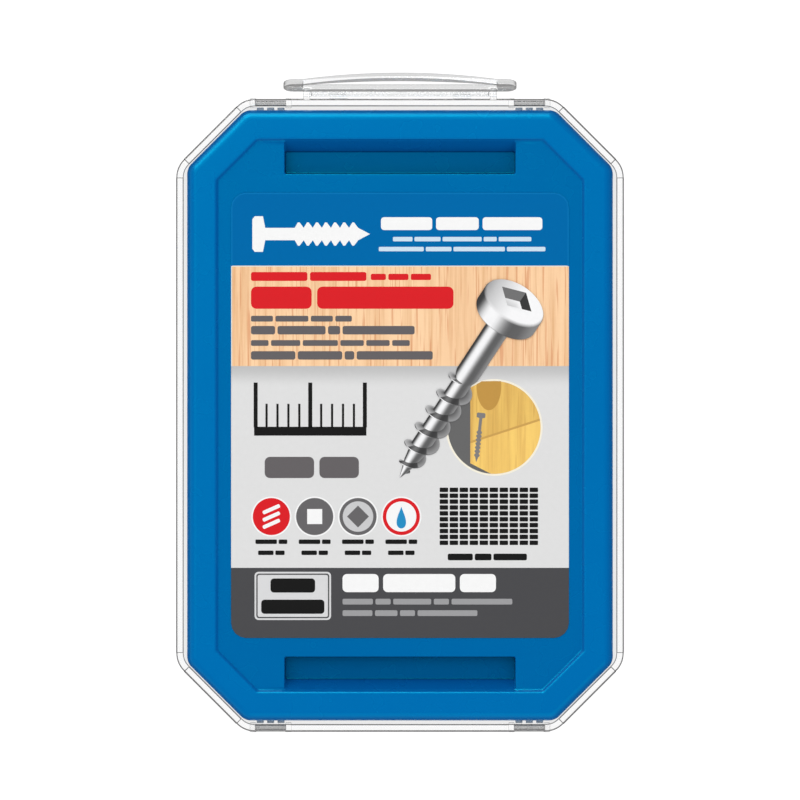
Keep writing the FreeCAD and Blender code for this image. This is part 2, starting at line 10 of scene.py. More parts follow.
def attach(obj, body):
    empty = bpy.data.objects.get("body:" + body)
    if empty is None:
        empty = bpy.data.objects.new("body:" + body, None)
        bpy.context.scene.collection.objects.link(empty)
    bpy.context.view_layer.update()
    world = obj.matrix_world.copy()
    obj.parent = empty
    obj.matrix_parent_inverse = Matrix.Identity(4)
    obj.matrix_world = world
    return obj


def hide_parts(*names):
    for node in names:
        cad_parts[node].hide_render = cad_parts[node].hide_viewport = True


# A hanging pack of pocket-hole screws, lying on its back: X across it, +Y towards the hang tab, +Z out
# through the lid. Sizes are the part's own, in millimetres, and are turned to metres when a mesh is made.

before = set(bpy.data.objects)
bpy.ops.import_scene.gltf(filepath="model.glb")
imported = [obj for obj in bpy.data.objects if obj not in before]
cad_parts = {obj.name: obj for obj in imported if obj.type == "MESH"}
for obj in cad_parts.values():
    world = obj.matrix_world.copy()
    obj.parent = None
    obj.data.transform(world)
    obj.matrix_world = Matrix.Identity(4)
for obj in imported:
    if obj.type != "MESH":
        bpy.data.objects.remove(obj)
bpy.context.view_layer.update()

MM = 0.001

# Case outline and levels. A shape is its half sizes, its corners' cut and their radius.
CASE_SHAPE = ((50.75, 71.75), 15.4, 5.6)
LEAST_RADIUS = 0.8
CORNER_STEPS = 7
PACK_HEIGHT = 31.75
RIM_HEIGHT = 27.5
RIM_DIP = 2.0
RIM_WALL = 1.6
RIM_MARKS = ((0.32, 0.0), (0.12, 1.0))
LEDGE_HEIGHT = 23.0
FLARE_HEIGHT = 21.4
FLARE = 1.5
DRAFT = math.tan(math.radians(1.5))
TUB_FLOOR = 1.6
FLOOR_INSET = 8.0

# Lid
LID_SHAPE = ((48.2, 69.1), 13.1, 3.55)
LID_WALL = 1.6
SKIRT_BOTTOM = 23.3
FRAME_WIDTH = 6.6
PANEL_HEIGHT = 30.9

# Finger pockets in the lid, as rings from the lowest up: a half length, a near and a far side, and a height
POCKET_FLOOR = 27.0
POCKET_END = 62.5
POCKET_OUTSIDE = (
    (27.45, 53.5, 60.7, 25.4), (27.7, 53.2, 61.1, 25.7), (27.8, 53.0, 63.15, 29.1), (27.8, 53.0, 63.2, 29.7))
POCKET_INSIDE = (
    (25.75, 55.1, 59.5, POCKET_FLOOR), (25.93, 54.93, 59.68, POCKET_FLOOR + 0.07),
    (26.0, 54.87, 59.8, POCKET_FLOOR + 0.25), (26.1, 54.6, 61.95, PANEL_HEIGHT - 0.25),
    (26.19, 54.51, 62.05, PANEL_HEIGHT - 0.08), (26.35, 54.35, 62.15, PANEL_HEIGHT),
    (26.85, 53.85, 62.3, PANEL_HEIGHT + 0.2), (26.85, 53.85, 62.4, PACK_HEIGHT + 0.75))

# Hinge bars on the tub, and the notches and ears round them
HINGE_X = 29.3
HINGE_HALF = 3.3
HINGE_EAR = 1.4
HINGE_EAR_HALF = 1.04
HINGE_EAR_Z = (26.45, 28.6)
NOTCH_HALF = 2.65
NOTCH_BOTTOM = 26.155
BAR_Y = 70.7
BAR_Z = 27.8
BAR_RADIUS = 0.6
BAR_SUNK = 0.2

# Hooks and lugs on the lid
HOOK_WIDTH = 1.15
HOOK_PITCH = 2.35
HOOK_ROOT = 68.3
HOOK_REACH = 0.85
HOOK_HALF_HEIGHT = 0.9
HOOK_BEVEL = 0.2
HOOK_CLEARANCE = 0.05
HOOK_MOUTH_HALF = 0.5
LUG_WIDTH = 1.6
LUG_TIP = 69.7
LUG_HALF_HEIGHT = 0.6

# Hang tab, and the tub's ears that hold it
TAB_AXIS = (72.85, 25.2)
TAB_TILT = 19.9
TAB_THICKNESS = 1.2
TAB_NECK = 20.2
TAB_END = 26.5
TAB_CORNER = 2.4
TAB_CREST = 14.2
ARCH_HALF = 22.0
SLOT_LOW = 5.6
SLOT_CREST = 11.2
PIN_RADIUS = 0.6
PIN_LENGTH = 1.7
HEEL_X = 14
HEEL_HALF = 2
HEEL_Y = (1.2, 3.2)
HEEL_TOP = -0.605
HEEL_STANDOFF = 0.95
TAB_EAR = 1.5
TAB_EAR_X = 20.4
TAB_EAR_Y = (70.95, 74.15)
TAB_EAR_Z = (23.9, 26.5)
TAB_BORE_RADIUS = 0.65

# Screws
HEAD_RADIUS = 3.95
HEAD_HEIGHT = 3.0
SCREW_LENGTH = 28.4
SHANK_RADIUS = 1.45
CORE_RADIUS = 1.15
THREAD_RADIUS = 2.0
THREAD_PITCH = 2.6
THREAD_START = 12.6
POINT_START = 23.6
RECESS_HALF = 1.65
RECESS_DEPTH = 1.9

# Label, the edges between its fields and their colours
LABEL_HALF = (38.2, 50.35)
LABEL_TOP = 31.1
LABEL_THICKNESS = 0.2
LABEL_CORNER = 3.4
EDGE_LINE = 0.3
INK_STEP = 0.015
INK_OVERLAP = 0.005
HEADER_LOW = 33.74
WOOD_LOW = 11.13
FOOT_TOP = -34.5
PANEL_BLUE = (0.0003, 0.142, 0.405)
# The blue of a painted highlight line along the blue field's edge
EDGE_HIGHLIGHT_BLUE = (0.003, 0.178, 0.47)
TRIM_PALE = (0.80, 0.78, 0.70)
WOOD_PALE = (1.0, 0.675, 0.405)
WOOD_DARK = (0.720, 0.370, 0.165)
FIELD_GREY = (0.745, 0.745, 0.745)
FOOT_GREY = (0.074, 0.074, 0.079)

# The large printed screw: how it is turned from lying along X, then its size, place, stretch and relief
PICTURE_TURN = ((-123.2, "Z"), (33, "Y"), (58, "X"))
PICTURE_SIZE = 1.9
PICTURE_PLACE = (26.4, 26.3)
PICTURE_STRETCH = 0.075
PICTURE_RELIEF = 0.3

# Floor in millimetres, and the camera in metres but for its sensor
FLOOR_HALF = 3000
FLOOR_Z = (-10, -0.02)
SENSOR_WIDTH = 36.0
CAMERA_DISTANCE = 2.0
VIEW_WIDTH = 0.1809
VIEW_CENTRE = 0.00346


# Outlines

def arc(x, y, radius, start, sweep, steps):
    """Points on an arc and at both its ends. It goes from a start angle through a sweep, in degrees."""
    turns = [math.radians(start + sweep * k / steps) for k in range(steps + 1)]
    return [(x + radius * math.cos(turn), y + radius * math.sin(turn)) for turn in turns]


def disc_outline(x, y, radius, count=48):
    return arc(x, y, radius, 0, 360, count)[:-1]


def box_outline(x0, x1, y0, y1, radius=0.0):
    """A rectangle, whose corners are round where it has a radius."""
    if radius == 0:
        return [(x0, y0), (x1, y0), (x1, y1), (x0, y1)]
    corners = [(x1 - radius, y0 + radius, -90), (x1 - radius, y1 - radius, 0),
               (x0 + radius, y1 - radius, 90), (x0 + radius, y0 + radius, 180)]
    return [spot for x, y, start in corners for spot in arc(x, y, radius, start, 90, 4)]


def octagon_ring(shape, inset, z, dip, marks=()):
    """An octagon with rounded corners, moved inwards. The dip lowers its corners.

    Marks are more points beside each corner, as how far from it they lie and their share of the dip.
    """
    (half_width, half_length), cut, radius = shape
    half_width -= inset
    half_length -= inset
    cut -= inset * (2 - math.sqrt(2))
    radius = max(radius - inset, LEAST_RADIUS)
    quarter = [(half_width - cut, -half_length), (half_width, -half_length + cut)]
    right = quarter + [(x, -y) for x, y in reversed(quarter)]
    corners = [Vector(c) for c in right + [(-x, -y) for x, y in right]]
    ring = []
    for i, corner in enumerate(corners):
        before = (corners[i - 1] - corner).normalized()
        after = (corners[(i + 1) % 8] - corner).normalized()
        tangent = radius * math.tan(math.pi / 8)
        centre = corner + (before + after).normalized() * (radius / math.cos(math.pi / 8))
        start = corner + before * tangent
        end = corner + after * tangent
        ring += [(start + before * reach, share) for reach, share in marks]
        for k in range(CORNER_STEPS + 1):
            turn = Matrix.Rotation(math.pi / 4 * k / CORNER_STEPS, 2)
            ring.append((centre + turn @ (start - centre), 1.0))
        ring += [(end + after * reach, share) for reach, share in reversed(marks)]
    return [(p.x, p.y, z - RIM_DIP * dip * share) for p, share in ring]


def rounded_profile(points, steps=5):
    """A chain of (inset, height, radius, dip) with each corner rounded by its radius."""
    chain = []
    for i, (inset, height, radius, dip) in enumerate(points):
        here = Vector((inset, height))
        if radius == 0:
            chain.append((inset, height, dip))
            continue
        before = (Vector(points[i - 1][:2]) - here).normalized()
        after = (Vector(points[i + 1][:2]) - here).normalized()
        half = before.angle(after) / 2
        centre = here + (before + after).normalized() * (radius / math.sin(half))
        start = here + before * (radius / math.tan(half)) - centre
        end = here + after * (radius / math.tan(half)) - centre
        sweep = math.pi - 2 * half
        for k in range(steps + 1):
            t = sweep * k / steps
            spot = centre + (start * math.sin(sweep - t) + end * math.sin(t)) / math.sin(sweep)
            chain.append((spot.x, spot.y, dip))
    return chain


def around(middle, half):
    """The limits of what reaches equally far to both sides of a middle."""
    return (middle - half, middle + half)


# Mesh building. The add functions add to an open bmesh, in millimetres.

def add_skin(bm, rings, cap_first=False, cap_last=False):
    """Walls between rings that have the same number of points. Returns the rings' vertices."""
    made = [[bm.verts.new(p) for p in ring] for ring in rings]
    count = len(made[0])
    for low, high in zip(made, made[1:]):
        for k in range(count):
            bm.faces.new((low[k], low[(k + 1) % count], high[(k + 1) % count], high[k]))
    if cap_first:
        bm.faces.new(made[0][::-1])
    if cap_last:
        bm.faces.new(made[-1])
    return made


def add_sheet(bm, loops):
    """A flat face with holes: the first loop of vertices is its edge, and the others are the holes."""
    flat = [v for loop in loops for v in loop]
    for triangle in tessellate_polygon([[v.co for v in loop] for loop in loops]):
        bm.faces.new([flat[k] for k in triangle])


def add_plate(bm, outline, low, high):
    """A flat outline made thick between two heights."""
    add_skin(bm, [[(x, y, low) for x, y in outline], [(x, y, high) for x, y in outline]], True, True)


def add_block(bm, x, y, z, bevel=0.0):
    size = Vector([high - low for low, high in (x, y, z)])
    centre = Vector([(high + low) / 2 for low, high in (x, y, z)])
    place = Matrix.Translation(centre) @ Matrix.Diagonal(size).to_4x4()
    made = bmesh.ops.create_cube(bm, size=1, matrix=place)
    if bevel:
        edges = {e for v in made["verts"] for e in v.link_edges}
        bmesh.ops.bevel(bm, geom=list(edges), offset=bevel, segments=2, profile=0.5, affect="EDGES")


def add_rod(bm, x, y, z, radius):
    """A round bar along X between two ends."""
    place = Matrix.Translation(((x[0] + x[1]) / 2, y, z)) @ Matrix.Rotation(math.pi / 2, 4, "Y")
    bmesh.ops.create_cone(
        bm, cap_ends=True, segments=28, radius1=radius, radius2=radius, depth=x[1] - x[0], matrix=place)


def add_extrusion(bm, outline, x):
    """A (y, z) outline made thick along X."""
    add_skin(bm, [[(side, y, z) for y, z in outline] for side in x], True, True)


def new_object(name, data):
    made = bpy.data.objects.new(name, data)
    bpy.context.scene.collection.objects.link(made)
    return made


def to_object(bm, name):
    """Closes a bmesh, turns it to metres and gives it an object."""
    bmesh.ops.remove_doubles(bm, verts=bm.verts, dist=0.0005)
    bmesh.ops.recalc_face_normals(bm, faces=bm.faces)
    bmesh.ops.scale(bm, vec=(MM, MM, MM), verts=bm.verts)
    mesh = bpy.data.meshes.new(name)
    bm.to_mesh(mesh)
    bm.free()
    return new_object(name, mesh)


def finished_mesh(piece):
    """The mesh that a curve or a piece's modifiers make."""
    depsgraph = bpy.context.evaluated_depsgraph_get()
    return bpy.data.meshes.new_from_object(piece.evaluated_get(depsgraph))


def take_modifiers(piece):
    """Gives a piece the mesh that its modifiers make, and takes them off."""
    mesh = finished_mesh(piece)
    piece.modifiers.clear()
    piece.data = mesh


def combine(piece, bm, operation):
    """Joins the solids of a bmesh to a piece, or cuts them from it."""
    tool = to_object(bm, "tool")
    change = piece.modifiers.new(operation, "BOOLEAN")
    change.operation = operation
    change.object = tool
    change.solver = "EXACT"
    change.use_self = operation == "UNION"
    take_modifiers(piece)
    bpy.data.objects.remove(tool)


def shade_smooth(mesh, sharp):
    """Smooths a mesh up to its sharp edges."""
    mesh.polygons.foreach_set("use_smooth", [True] * len(mesh.polygons))
    mesh.set_sharp_from_angle(angle=math.radians(sharp))


def dress(piece, material, body, replaced=(), sharp=32, weighted=False):
    """Smooths a piece, gives it its material and lets it ride on its body.

    Where it is weighted, large flat faces rule the normals along their edges.
    """
    piece.data.materials.clear()
    piece.data.materials.append(material)
    shade_smooth(piece.data, sharp)
    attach(piece, body)
    if replaced:
        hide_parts(*replaced)
    if weighted:
        piece.modifiers.new("normals", "WEIGHTED_NORMAL").keep_sharp = True
        take_modifiers(piece)


# Shader building. A group's sockets are numbers where their names aren't listed here.

SOCKET_KINDS = {"Place": "Vector", "Colour": "Color", "Pale": "Color", "Dark": "Color", "Pore": "Color"}


def feed(tree, node, values):
    """Links a node's inputs to sockets, or sets them to values."""
    for key, value in values.items():
        if isinstance(value, bpy.types.NodeSocket):
            tree.links.new(value, node.inputs[key])
        else:
            node.inputs[key].default_value = value


def add_node(tree, kind, values=None, **settings):
    """A shader node with its settings and what its inputs are fed."""
    made = tree.nodes.new("ShaderNode" + kind)
    for key, value in settings.items():
        setattr(made, key, value)
    feed(tree, made, values or {})
    return made


def math_of(tree, operation, first, second=0.0, third=0.0, clamp=False):
    inputs = {0: first, 1: second, 2: third}
    return add_node(tree, "Math", inputs, operation=operation, use_clamp=clamp).outputs[0]


def times(tree, first, second):
    return math_of(tree, "MULTIPLY", first, second)


def mix_colours(tree, factor, first, second):
    return add_node(tree, "Mix", {0: factor, 6: first, 7: second}, data_type="RGBA").outputs[2]


def map_range(tree, value, low, high, to_low=0.0, to_high=1.0, kind="LINEAR"):
    inputs = {0: value, 1: low, 2: high, 3: to_low, 4: to_high}
    return add_node(tree, "MapRange", inputs, interpolation_type=kind).outputs[0]


def axis_of(tree, vector, axis):
    return add_node(tree, "SeparateXYZ", {0: vector}).outputs[axis]


def vector_math(tree, operation, values, result="Vector"):
    return add_node(tree, "VectorMath", values, operation=operation).outputs[result]


def noise(tree, place, scale, detail, **inputs):
    inputs.update(Vector=place, Scale=scale, Detail=detail)
    return add_node(tree, "TexNoise", inputs).outputs[0]


def waver(tree, level, amount, base):
    """A base that moves up and down with a noise's level, by an amount."""
    return math_of(tree, "MULTIPLY_ADD", math_of(tree, "SUBTRACT", level, 0.5), amount, base)


def add_socket(tree, label, side):
    kind = SOCKET_KINDS.get(label, "Float")
    tree.interface.new_socket(label, in_out=side, socket_type="NodeSocket" + kind)


def new_group(name, *labels):
    """A shader node group with named inputs. Returns its tree and the sockets that bring them."""
    tree = bpy.data.node_groups.new(name, "ShaderNodeTree")
    for label in labels:
        add_socket(tree, label, "INPUT")
    return tree, tree.nodes.new("NodeGroupInput").outputs


def close_group(tree, **results):
    """Gives a group its outputs, each fed by a socket."""
    for label in results:
        add_socket(tree, label, "OUTPUT")
    feed(tree, tree.nodes.new("NodeGroupOutput"), results)
    return tree


def use_group(tree, group, **values):
    """The outputs of a group placed in a tree; its inputs are named with _ for each space."""
    values = {key.replace("_", " "): value for key, value in values.items()}
    return add_node(tree, "Group", values, node_tree=group).outputs


def new_material(name):
    material = bpy.data.materials.new(name)
    material.use_nodes = True
    tree = material.node_tree
    tree.nodes.clear()
    shader = add_node(tree, "BsdfPrincipled")
    add_node(tree, "OutputMaterial", {0: shader.outputs[0]})
    return material, tree, shader, add_node(tree, "TexCoord").outputs["Object"]


def bump(tree, height, strength, distance):
    values = {"Height": height, "Strength": strength, "Distance": distance * MM}
    return add_node(tree, "Bump", values).outputs[0]


def moulded_surface():
    """Moulded plastic: a faintly cloudy colour, slow ripples in the gloss and fine grain in the height."""
    tree, given = new_group(
        "Moulded surface", "Place", "Colour", "Cloudiness", "Roughness", "Gloss Ripple", "Grain Size")
    place = given["Place"]
    level = waver(tree, noise(tree, place, 38.0, 3.0), given["Cloudiness"], 1.0)
    colour = vector_math(tree, "SCALE", {0: given["Colour"], 3: level})
    rough = waver(tree, noise(tree, place, 140.0, 2.0), given["Gloss Ripple"], given["Roughness"])
    grain = noise(tree, place, math_of(tree, "DIVIDE", 1000.0, given["Grain Size"]), 2.0)
    return close_group(tree, Colour=colour, Roughness=rough, Height=grain)


def recess_shade():
    """Masks by height for painted shade on the lid: its panel and all below, its pockets, and the crease
    round their floors.
    """
    tree, given = new_group("Recess shade", "Place")
    height = axis_of(tree, given["Place"], "Z")
    sunk = map_range(tree, height, PACK_HEIGHT * MM, PANEL_HEIGHT * MM)
    deep = map_range(tree, height, PANEL_HEIGHT * MM, POCKET_FLOOR * MM)
    above = math_of(tree, "SUBTRACT", height, POCKET_FLOOR * MM)
    crease = map_range(tree, above, 0.01 * MM, 0.06 * MM)
    crease = times(tree, crease, map_range(tree, above, 0.45 * MM, 0.25 * MM))
    return close_group(tree, Sunk=sunk, Deep=deep, Crease=crease)


def wood_grain():
    """Straight grain along Y: a calm broad figure, fine fibres and thin dark pores."""
    tree, given = new_group("Wood grain", "Place", "Pale", "Dark", "Pore", "Figure", "Figure Size")
    broad, fine, thin = [
        add_node(tree, "Mapping", {"Vector": given["Place"], "Scale": (1.0, squeeze, 1.0)}).outputs[0]
        for squeeze in (0.07, 0.03, 0.028)]
    figure_scale = math_of(tree, "DIVIDE", 1000.0, given["Figure Size"])
    figure = noise(tree, broad, figure_scale, 4.0, Roughness=0.55, Distortion=0.1)
    figure = times(tree, map_range(tree, figure, 0.42, 0.72), given["Figure"])
    fibres = map_range(tree, noise(tree, fine, 1300.0, 2.0), 0.45, 0.75, 0.0, 0.5)
    pores = map_range(tree, noise(tree, thin, 2300.0, 1.0), 0.58, 0.66, 0.0, 0.6)
    share = math_of(tree, "ADD", fibres, figure, clamp=True)
    colour = mix_colours(tree, share, given["Pale"], given["Dark"])
    return close_group(tree, Colour=mix_colours(tree, pores, colour, given["Pore"]))


def printed_ink():
    """Ink on coated paper: a faint mottle in the colour and the paper's own fibres in the height."""
    tree, given = new_group("Printed ink", "Place", "Colour", "Mottle")
    speckle = noise(tree, given["Place"], 900.0, 3.0)
    colour = vector_math(tree, "SCALE", {0: given["Colour"], 3: waver(tree, speckle, given["Mottle"], 1.0)})
    rough = map_range(tree, speckle, 0.3, 0.7, 0.52, 0.6)
    return close_group(tree, Colour=colour, Roughness=rough, Height=noise(tree, given["Place"], 4000.0, 2.0))


MOULDED = moulded_surface()
RECESS = recess_shade()
WOOD = wood_grain()
INK = printed_ink()


def blue_plastic():
    """The lid's plastic, with painted shade in its recesses, along their creases and on the top pocket's wall
    beside the label.
    """
    material, tree, shader, place = new_material("blue_plastic")
    finish = use_group(tree, MOULDED, Place=place, Colour=(0.0003, 0.143, 0.475, 1), Cloudiness=0.05,
                       Roughness=0.27, Gloss_Ripple=0.06, Grain_Size=0.45)
    shade = use_group(tree, RECESS, Place=place)
    # Painted shade, mixed towards near black blue: a little over the sunk panel, more deep in the pockets and
    # along the crease round their floors
    dark = times(tree, shade["Sunk"], 0.15)
    dark = math_of(tree, "MULTIPLY_ADD", math_of(tree, "POWER", shade["Deep"], 2.0), 0.30, dark)
    dark = math_of(tree, "MULTIPLY_ADD", shade["Crease"], 0.35, dark)
    # More painted shade on the steep pocket walls that face +Y
    normal = add_node(tree, "TexCoord").outputs["Normal"]
    wall = map_range(tree, axis_of(tree, normal, "Y"), 0.9, 0.97)
    in_reach = math_of(tree, "LESS_THAN", axis_of(tree, place, "Y"), POCKET_END * MM)
    in_pocket = math_of(tree, "GREATER_THAN", shade["Deep"], 0.02)
    wall = times(tree, times(tree, wall, in_reach), in_pocket)
    dark = math_of(tree, "MULTIPLY_ADD", wall, 0.5, dark, clamp=True)
    feed(tree, shader, {
        "Base Color": mix_colours(tree, dark, finish["Colour"], (0.0, 0.0, 0.06, 1)),
        "Roughness": finish["Roughness"], "Specular IOR Level": 1.0, "Specular Tint": (0.0, 0.84, 1.0, 1),
        "Normal": bump(tree, finish["Height"], 0.12, 0.03)})
    return material


def clear_plastic(name, slant, slant_grey, edge_grey, bare=(0.998, 0.998, 0.998), line_from=0.0,
                  grey_below=PACK_HEIGHT + 2):
    """Thin clear polystyrene: bare where it is seen square on, with painted grey shade where a ray runs along
    its walls.

    The slant's limits say where the painted grey of slanted walls sets in and is full. The painted grey ends
    at one height, and the painted dark lines along the edges are full only above another.
    """
    material, tree, shader, place = new_material(name)
    facing = add_node(tree, "LayerWeight", {"Blend": 0.5}).outputs["Facing"]
    leaving = add_node(tree, "NewGeometry").outputs["Backfacing"]
    height = axis_of(tree, place, "Z")
    # Painted shade: grey on walls slanted to the eye, fuller where a ray leaves than where it enters, and
    # dark lines where a wall is seen edge on
    slanted = map_range(tree, facing, *slant, kind="SMOOTHSTEP")
    slanted = times(tree, slanted, math_of(tree, "MULTIPLY_ADD", leaving, 0.9, 0.1))
    greyed = map_range(tree, height, grey_below * MM, (grey_below - 0.6) * MM)
    slanted = times(tree, slanted, greyed)
    line = map_range(tree, height, line_from * MM, (line_from + 1.0) * MM, 0.12, 1.0)
    edge_on = times(tree, map_range(tree, facing, 0.62, 0.9), line)
    shaded_tint = mix_colours(tree, slanted, (*bare, 1), (slant_grey, slant_grey, slant_grey, 1))
    shaded_tint = mix_colours(tree, edge_on, shaded_tint, (edge_grey, 0.96 * edge_grey, 0.97 * edge_grey, 1))
    finish = use_group(tree, MOULDED, Place=place, Colour=shaded_tint, Cloudiness=0.02, Grain_Size=2.0)
    shadow = add_node(tree, "LightPath").outputs["Is Shadow Ray"]
    feed(tree, shader, {
        "Base Color": finish["Colour"], "Roughness": 0.0, "IOR": 1.0, "Transmission Weight": 1.0,
        "Coat Weight": map_range(tree, facing, 0.6, 0.9, 1.0, 0.0), "Coat Roughness": 0.04, "Coat IOR": 1.49,
        "Normal": bump(tree, finish["Height"], 0.02, 0.05),
        "Alpha": math_of(tree, "MULTIPLY_ADD", shadow, -0.94, 1.0)})
    return material


def zinc_plating():
    material, tree, shader, place = new_material("zinc_plating")
    spangle = noise(tree, place, 260.0, 4.0)
    feed(tree, shader, {
        "Base Color": mix_colours(tree, spangle, (0.54, 0.55, 0.57, 1), (0.70, 0.70, 0.69, 1)),
        "Roughness": map_range(tree, spangle, 0.3, 0.7, 0.2, 0.34), "Metallic": 1.0,
        "Normal": bump(tree, noise(tree, place, 2600.0, 2.0), 0.15, 0.02)})
    return material


def lay_ink(tree, shader, place, colour, gloss=0.5):
    """Gives a material the finish of print on coated paper."""
    finish = use_group(tree, INK, Place=place, Colour=colour, Mottle=0.05)
    feed(tree, shader, {
        "Base Color": finish["Colour"], "Roughness": finish["Roughness"], "Specular IOR Level": gloss,
        "Normal": bump(tree, finish["Height"], 0.06, 0.02)})


def ink(name, colour):
    material, tree, shader, place = new_material(name)
    lay_ink(tree, shader, place, (*colour, 1), 0.15)
    return material


def label_edge_highlight(tree, place):
    """A mask of the painted highlight line along the label's edge, by how far a point lies beyond its
    corners' centres.
    """
    folded = vector_math(tree, "ABSOLUTE", {0: place})
    centres = [(half - LABEL_CORNER) * MM for half in LABEL_HALF] + [1.0]
    beyond = vector_math(tree, "SUBTRACT", {0: folded, 1: centres})
    beyond = vector_math(tree, "MAXIMUM", {0: beyond, 1: (0, 0, 0)})
    reach = vector_math(tree, "LENGTH", {0: beyond}, "Value")
    return math_of(tree, "GREATER_THAN", reach, (LABEL_CORNER - EDGE_LINE) * MM)


def label_fields_ink():
    """The label's fields from top to foot: blue with a painted highlight line along its edge, wood, pale grey
    under a soft shadow, and dark grey.
    """
    material, tree, shader, place = new_material("label_fields_ink")
    length = axis_of(tree, place, "Y")
    above_foot, above_field, above_wood = [
        math_of(tree, "GREATER_THAN", length, edge * MM) for edge in (FOOT_TOP, WOOD_LOW, HEADER_LOW)]
    wood = use_group(tree, WOOD, Place=place, Pale=(*WOOD_PALE, 1), Dark=(*WOOD_DARK, 1),
                     Pore=(0.70, 0.28, 0.13, 1), Figure=0.32, Figure_Size=6.0)
    shadow = map_range(tree, length, WOOD_LOW * MM, (WOOD_LOW - 5.0) * MM, 0.72, 1.0, kind="SMOOTHSTEP")
    field = vector_math(tree, "SCALE", {0: FIELD_GREY, 3: shadow})
    near_joint = math_of(tree, "COMPARE", length, HEADER_LOW * MM, 0.11 * MM)
    near_side = math_of(tree, "LESS_THAN", axis_of(tree, place, "X"), (0.22 - LABEL_HALF[0]) * MM)
    near_side = times(tree, near_side, math_of(tree, "SUBTRACT", above_field, above_wood))
    trim = math_of(tree, "MAXIMUM", near_joint, near_side)
    # A painted highlight line along the blue field's edge
    header_highlight = times(tree, label_edge_highlight(tree, place), above_wood)
    colour = (*FOOT_GREY, 1)
    for mask, other in ((above_foot, field), (above_field, wood["Colour"]), (above_wood, (*PANEL_BLUE, 1)),
                        (trim, (*TRIM_PALE, 1)), (header_highlight, (*EDGE_HIGHLIGHT_BLUE, 1))):
        colour = mix_colours(tree, mask, colour, other)
    lay_ink(tree, shader, place, colour, 0.015)
    return material


def wood_ink(name, pale, dark):
    material, tree, shader, place = new_material(name)
    wood = use_group(tree, WOOD, Place=place, Pale=(*pale, 1), Dark=(*dark, 1), Pore=(*dark, 1), Figure=0.8,
                     Figure_Size=3.0)
    lay_ink(tree, shader, place, wood["Colour"])
    return material


def picture_ink():
    """The printed screw: its light and dark are a tone kept on the mesh."""
    material, tree, shader, place = new_material("picture_ink")
    tone = add_node(tree, "Attribute", attribute_name="tone").outputs["Fac"]
    lay_ink(tree, shader, place, mix_colours(tree, tone, (0.010, 0.010, 0.011, 1), (0.94, 0.94, 0.95, 1)))
    return material


BLUE = blue_plastic()
# Clear plastics, each grey by painted shade at slants and along its edges
CLEAR = clear_plastic("clear_plastic", (0.5, 0.9), 0.8, 0.03, line_from=20.5)
# The tab: painted grey shade sets in at gentler slants than the tub's, and none lies above 21.9 mm high
TAB_CLEAR = clear_plastic("tab_clear_plastic", (0.2, 0.7), 0.1, 0.03, grey_below=21.9)
# Hinge bars: painted grey shade all over them
SHADED_STACK_CLEAR = clear_plastic("shaded_stack_clear_plastic", (0.05, 0.35), 0.06, 0.05, (0.45, 0.45, 0.45))
# Lugs: the lid's blue darkened by painted shade, in clear plastic
SHADED_BLUE_CLEAR = clear_plastic("shaded_blue_clear_plastic", (0.2, 0.7), 0.25, 0.05, (0.21, 0.28, 0.37))
ZINC = zinc_plating()


# Clear tub

def lower_inset(z):
    return FLARE + (LEDGE_HEIGHT - z) * DRAFT


def make_tub():
    """The tub's shell swept round its outline, with notches for the hinge bars, and ears for the hang tab."""
    profile = rounded_profile([
        (FLOOR_INSET, 0, 0, 0), (lower_inset(0), 0, 2.0, 0),
        (lower_inset(FLARE_HEIGHT), FLARE_HEIGHT, 0.4, 0), (0.16, FLARE_HEIGHT, 0.5, 0),
        (0, RIM_HEIGHT, 0.3, 1), (RIM_WALL - 0.1, RIM_HEIGHT, 0.3, 1),
        (RIM_WALL, LEDGE_HEIGHT, 0.3, 0), (FLARE + RIM_WALL, LEDGE_HEIGHT, 0.4, 0),
        (lower_inset(TUB_FLOOR) + RIM_WALL, TUB_FLOOR, 1.2, 0), (FLOOR_INSET, TUB_FLOOR, 0, 0)])
    bm = bmesh.new()
    add_skin(bm, [octagon_ring(CASE_SHAPE, *spot, marks=RIM_MARKS) for spot in profile], True, True)
    tub = to_object(bm, "tub_shell")
    notches, ears, bars, bores = [bmesh.new() for _ in range(4)]
    for side in (-1, 1):
        for end in (-1, 1):
            x = side * HINGE_X
            y = end * BAR_Y
            add_block(notches, around(x, HINGE_HALF), around(y, NOTCH_HALF), (NOTCH_BOTTOM, PACK_HEIGHT))
            for edge in (x - HINGE_HALF - HINGE_EAR, x + HINGE_HALF):
                add_block(ears, (edge, edge + HINGE_EAR), around(y, HINGE_EAR_HALF), HINGE_EAR_Z, 0.15)
            add_rod(bars, around(x, HINGE_HALF + BAR_SUNK), y, BAR_Z, BAR_RADIUS)
    for left in (TAB_EAR_X, -TAB_EAR_X - TAB_EAR):
        add_block(ears, (left, left + TAB_EAR), TAB_EAR_Y, TAB_EAR_Z, 0.25)
        add_rod(bores, (left - 0.1, left + TAB_EAR + 0.1), *TAB_AXIS, TAB_BORE_RADIUS)
    combine(tub, notches, "DIFFERENCE")
    combine(tub, ears, "UNION")
    combine(tub, bores, "DIFFERENCE")
    dress(tub, CLEAR, "tub", ["clear_tub"], weighted=True)
    dress(to_object(bars, "hinge_bars"), SHADED_STACK_CLEAR, "tub", ["clear_tub"])


# Lid

def add_pocket(bm, end, spots, radius):
    """A pocket or its outside as a solid at one end of the lid, from its rings."""
    add_skin(bm, [[(x, y, z) for x, y in box_outline(-half, half, *sorted((end * near, end * far)), radius)]
                  for half, near, far, z in spots], True, True)


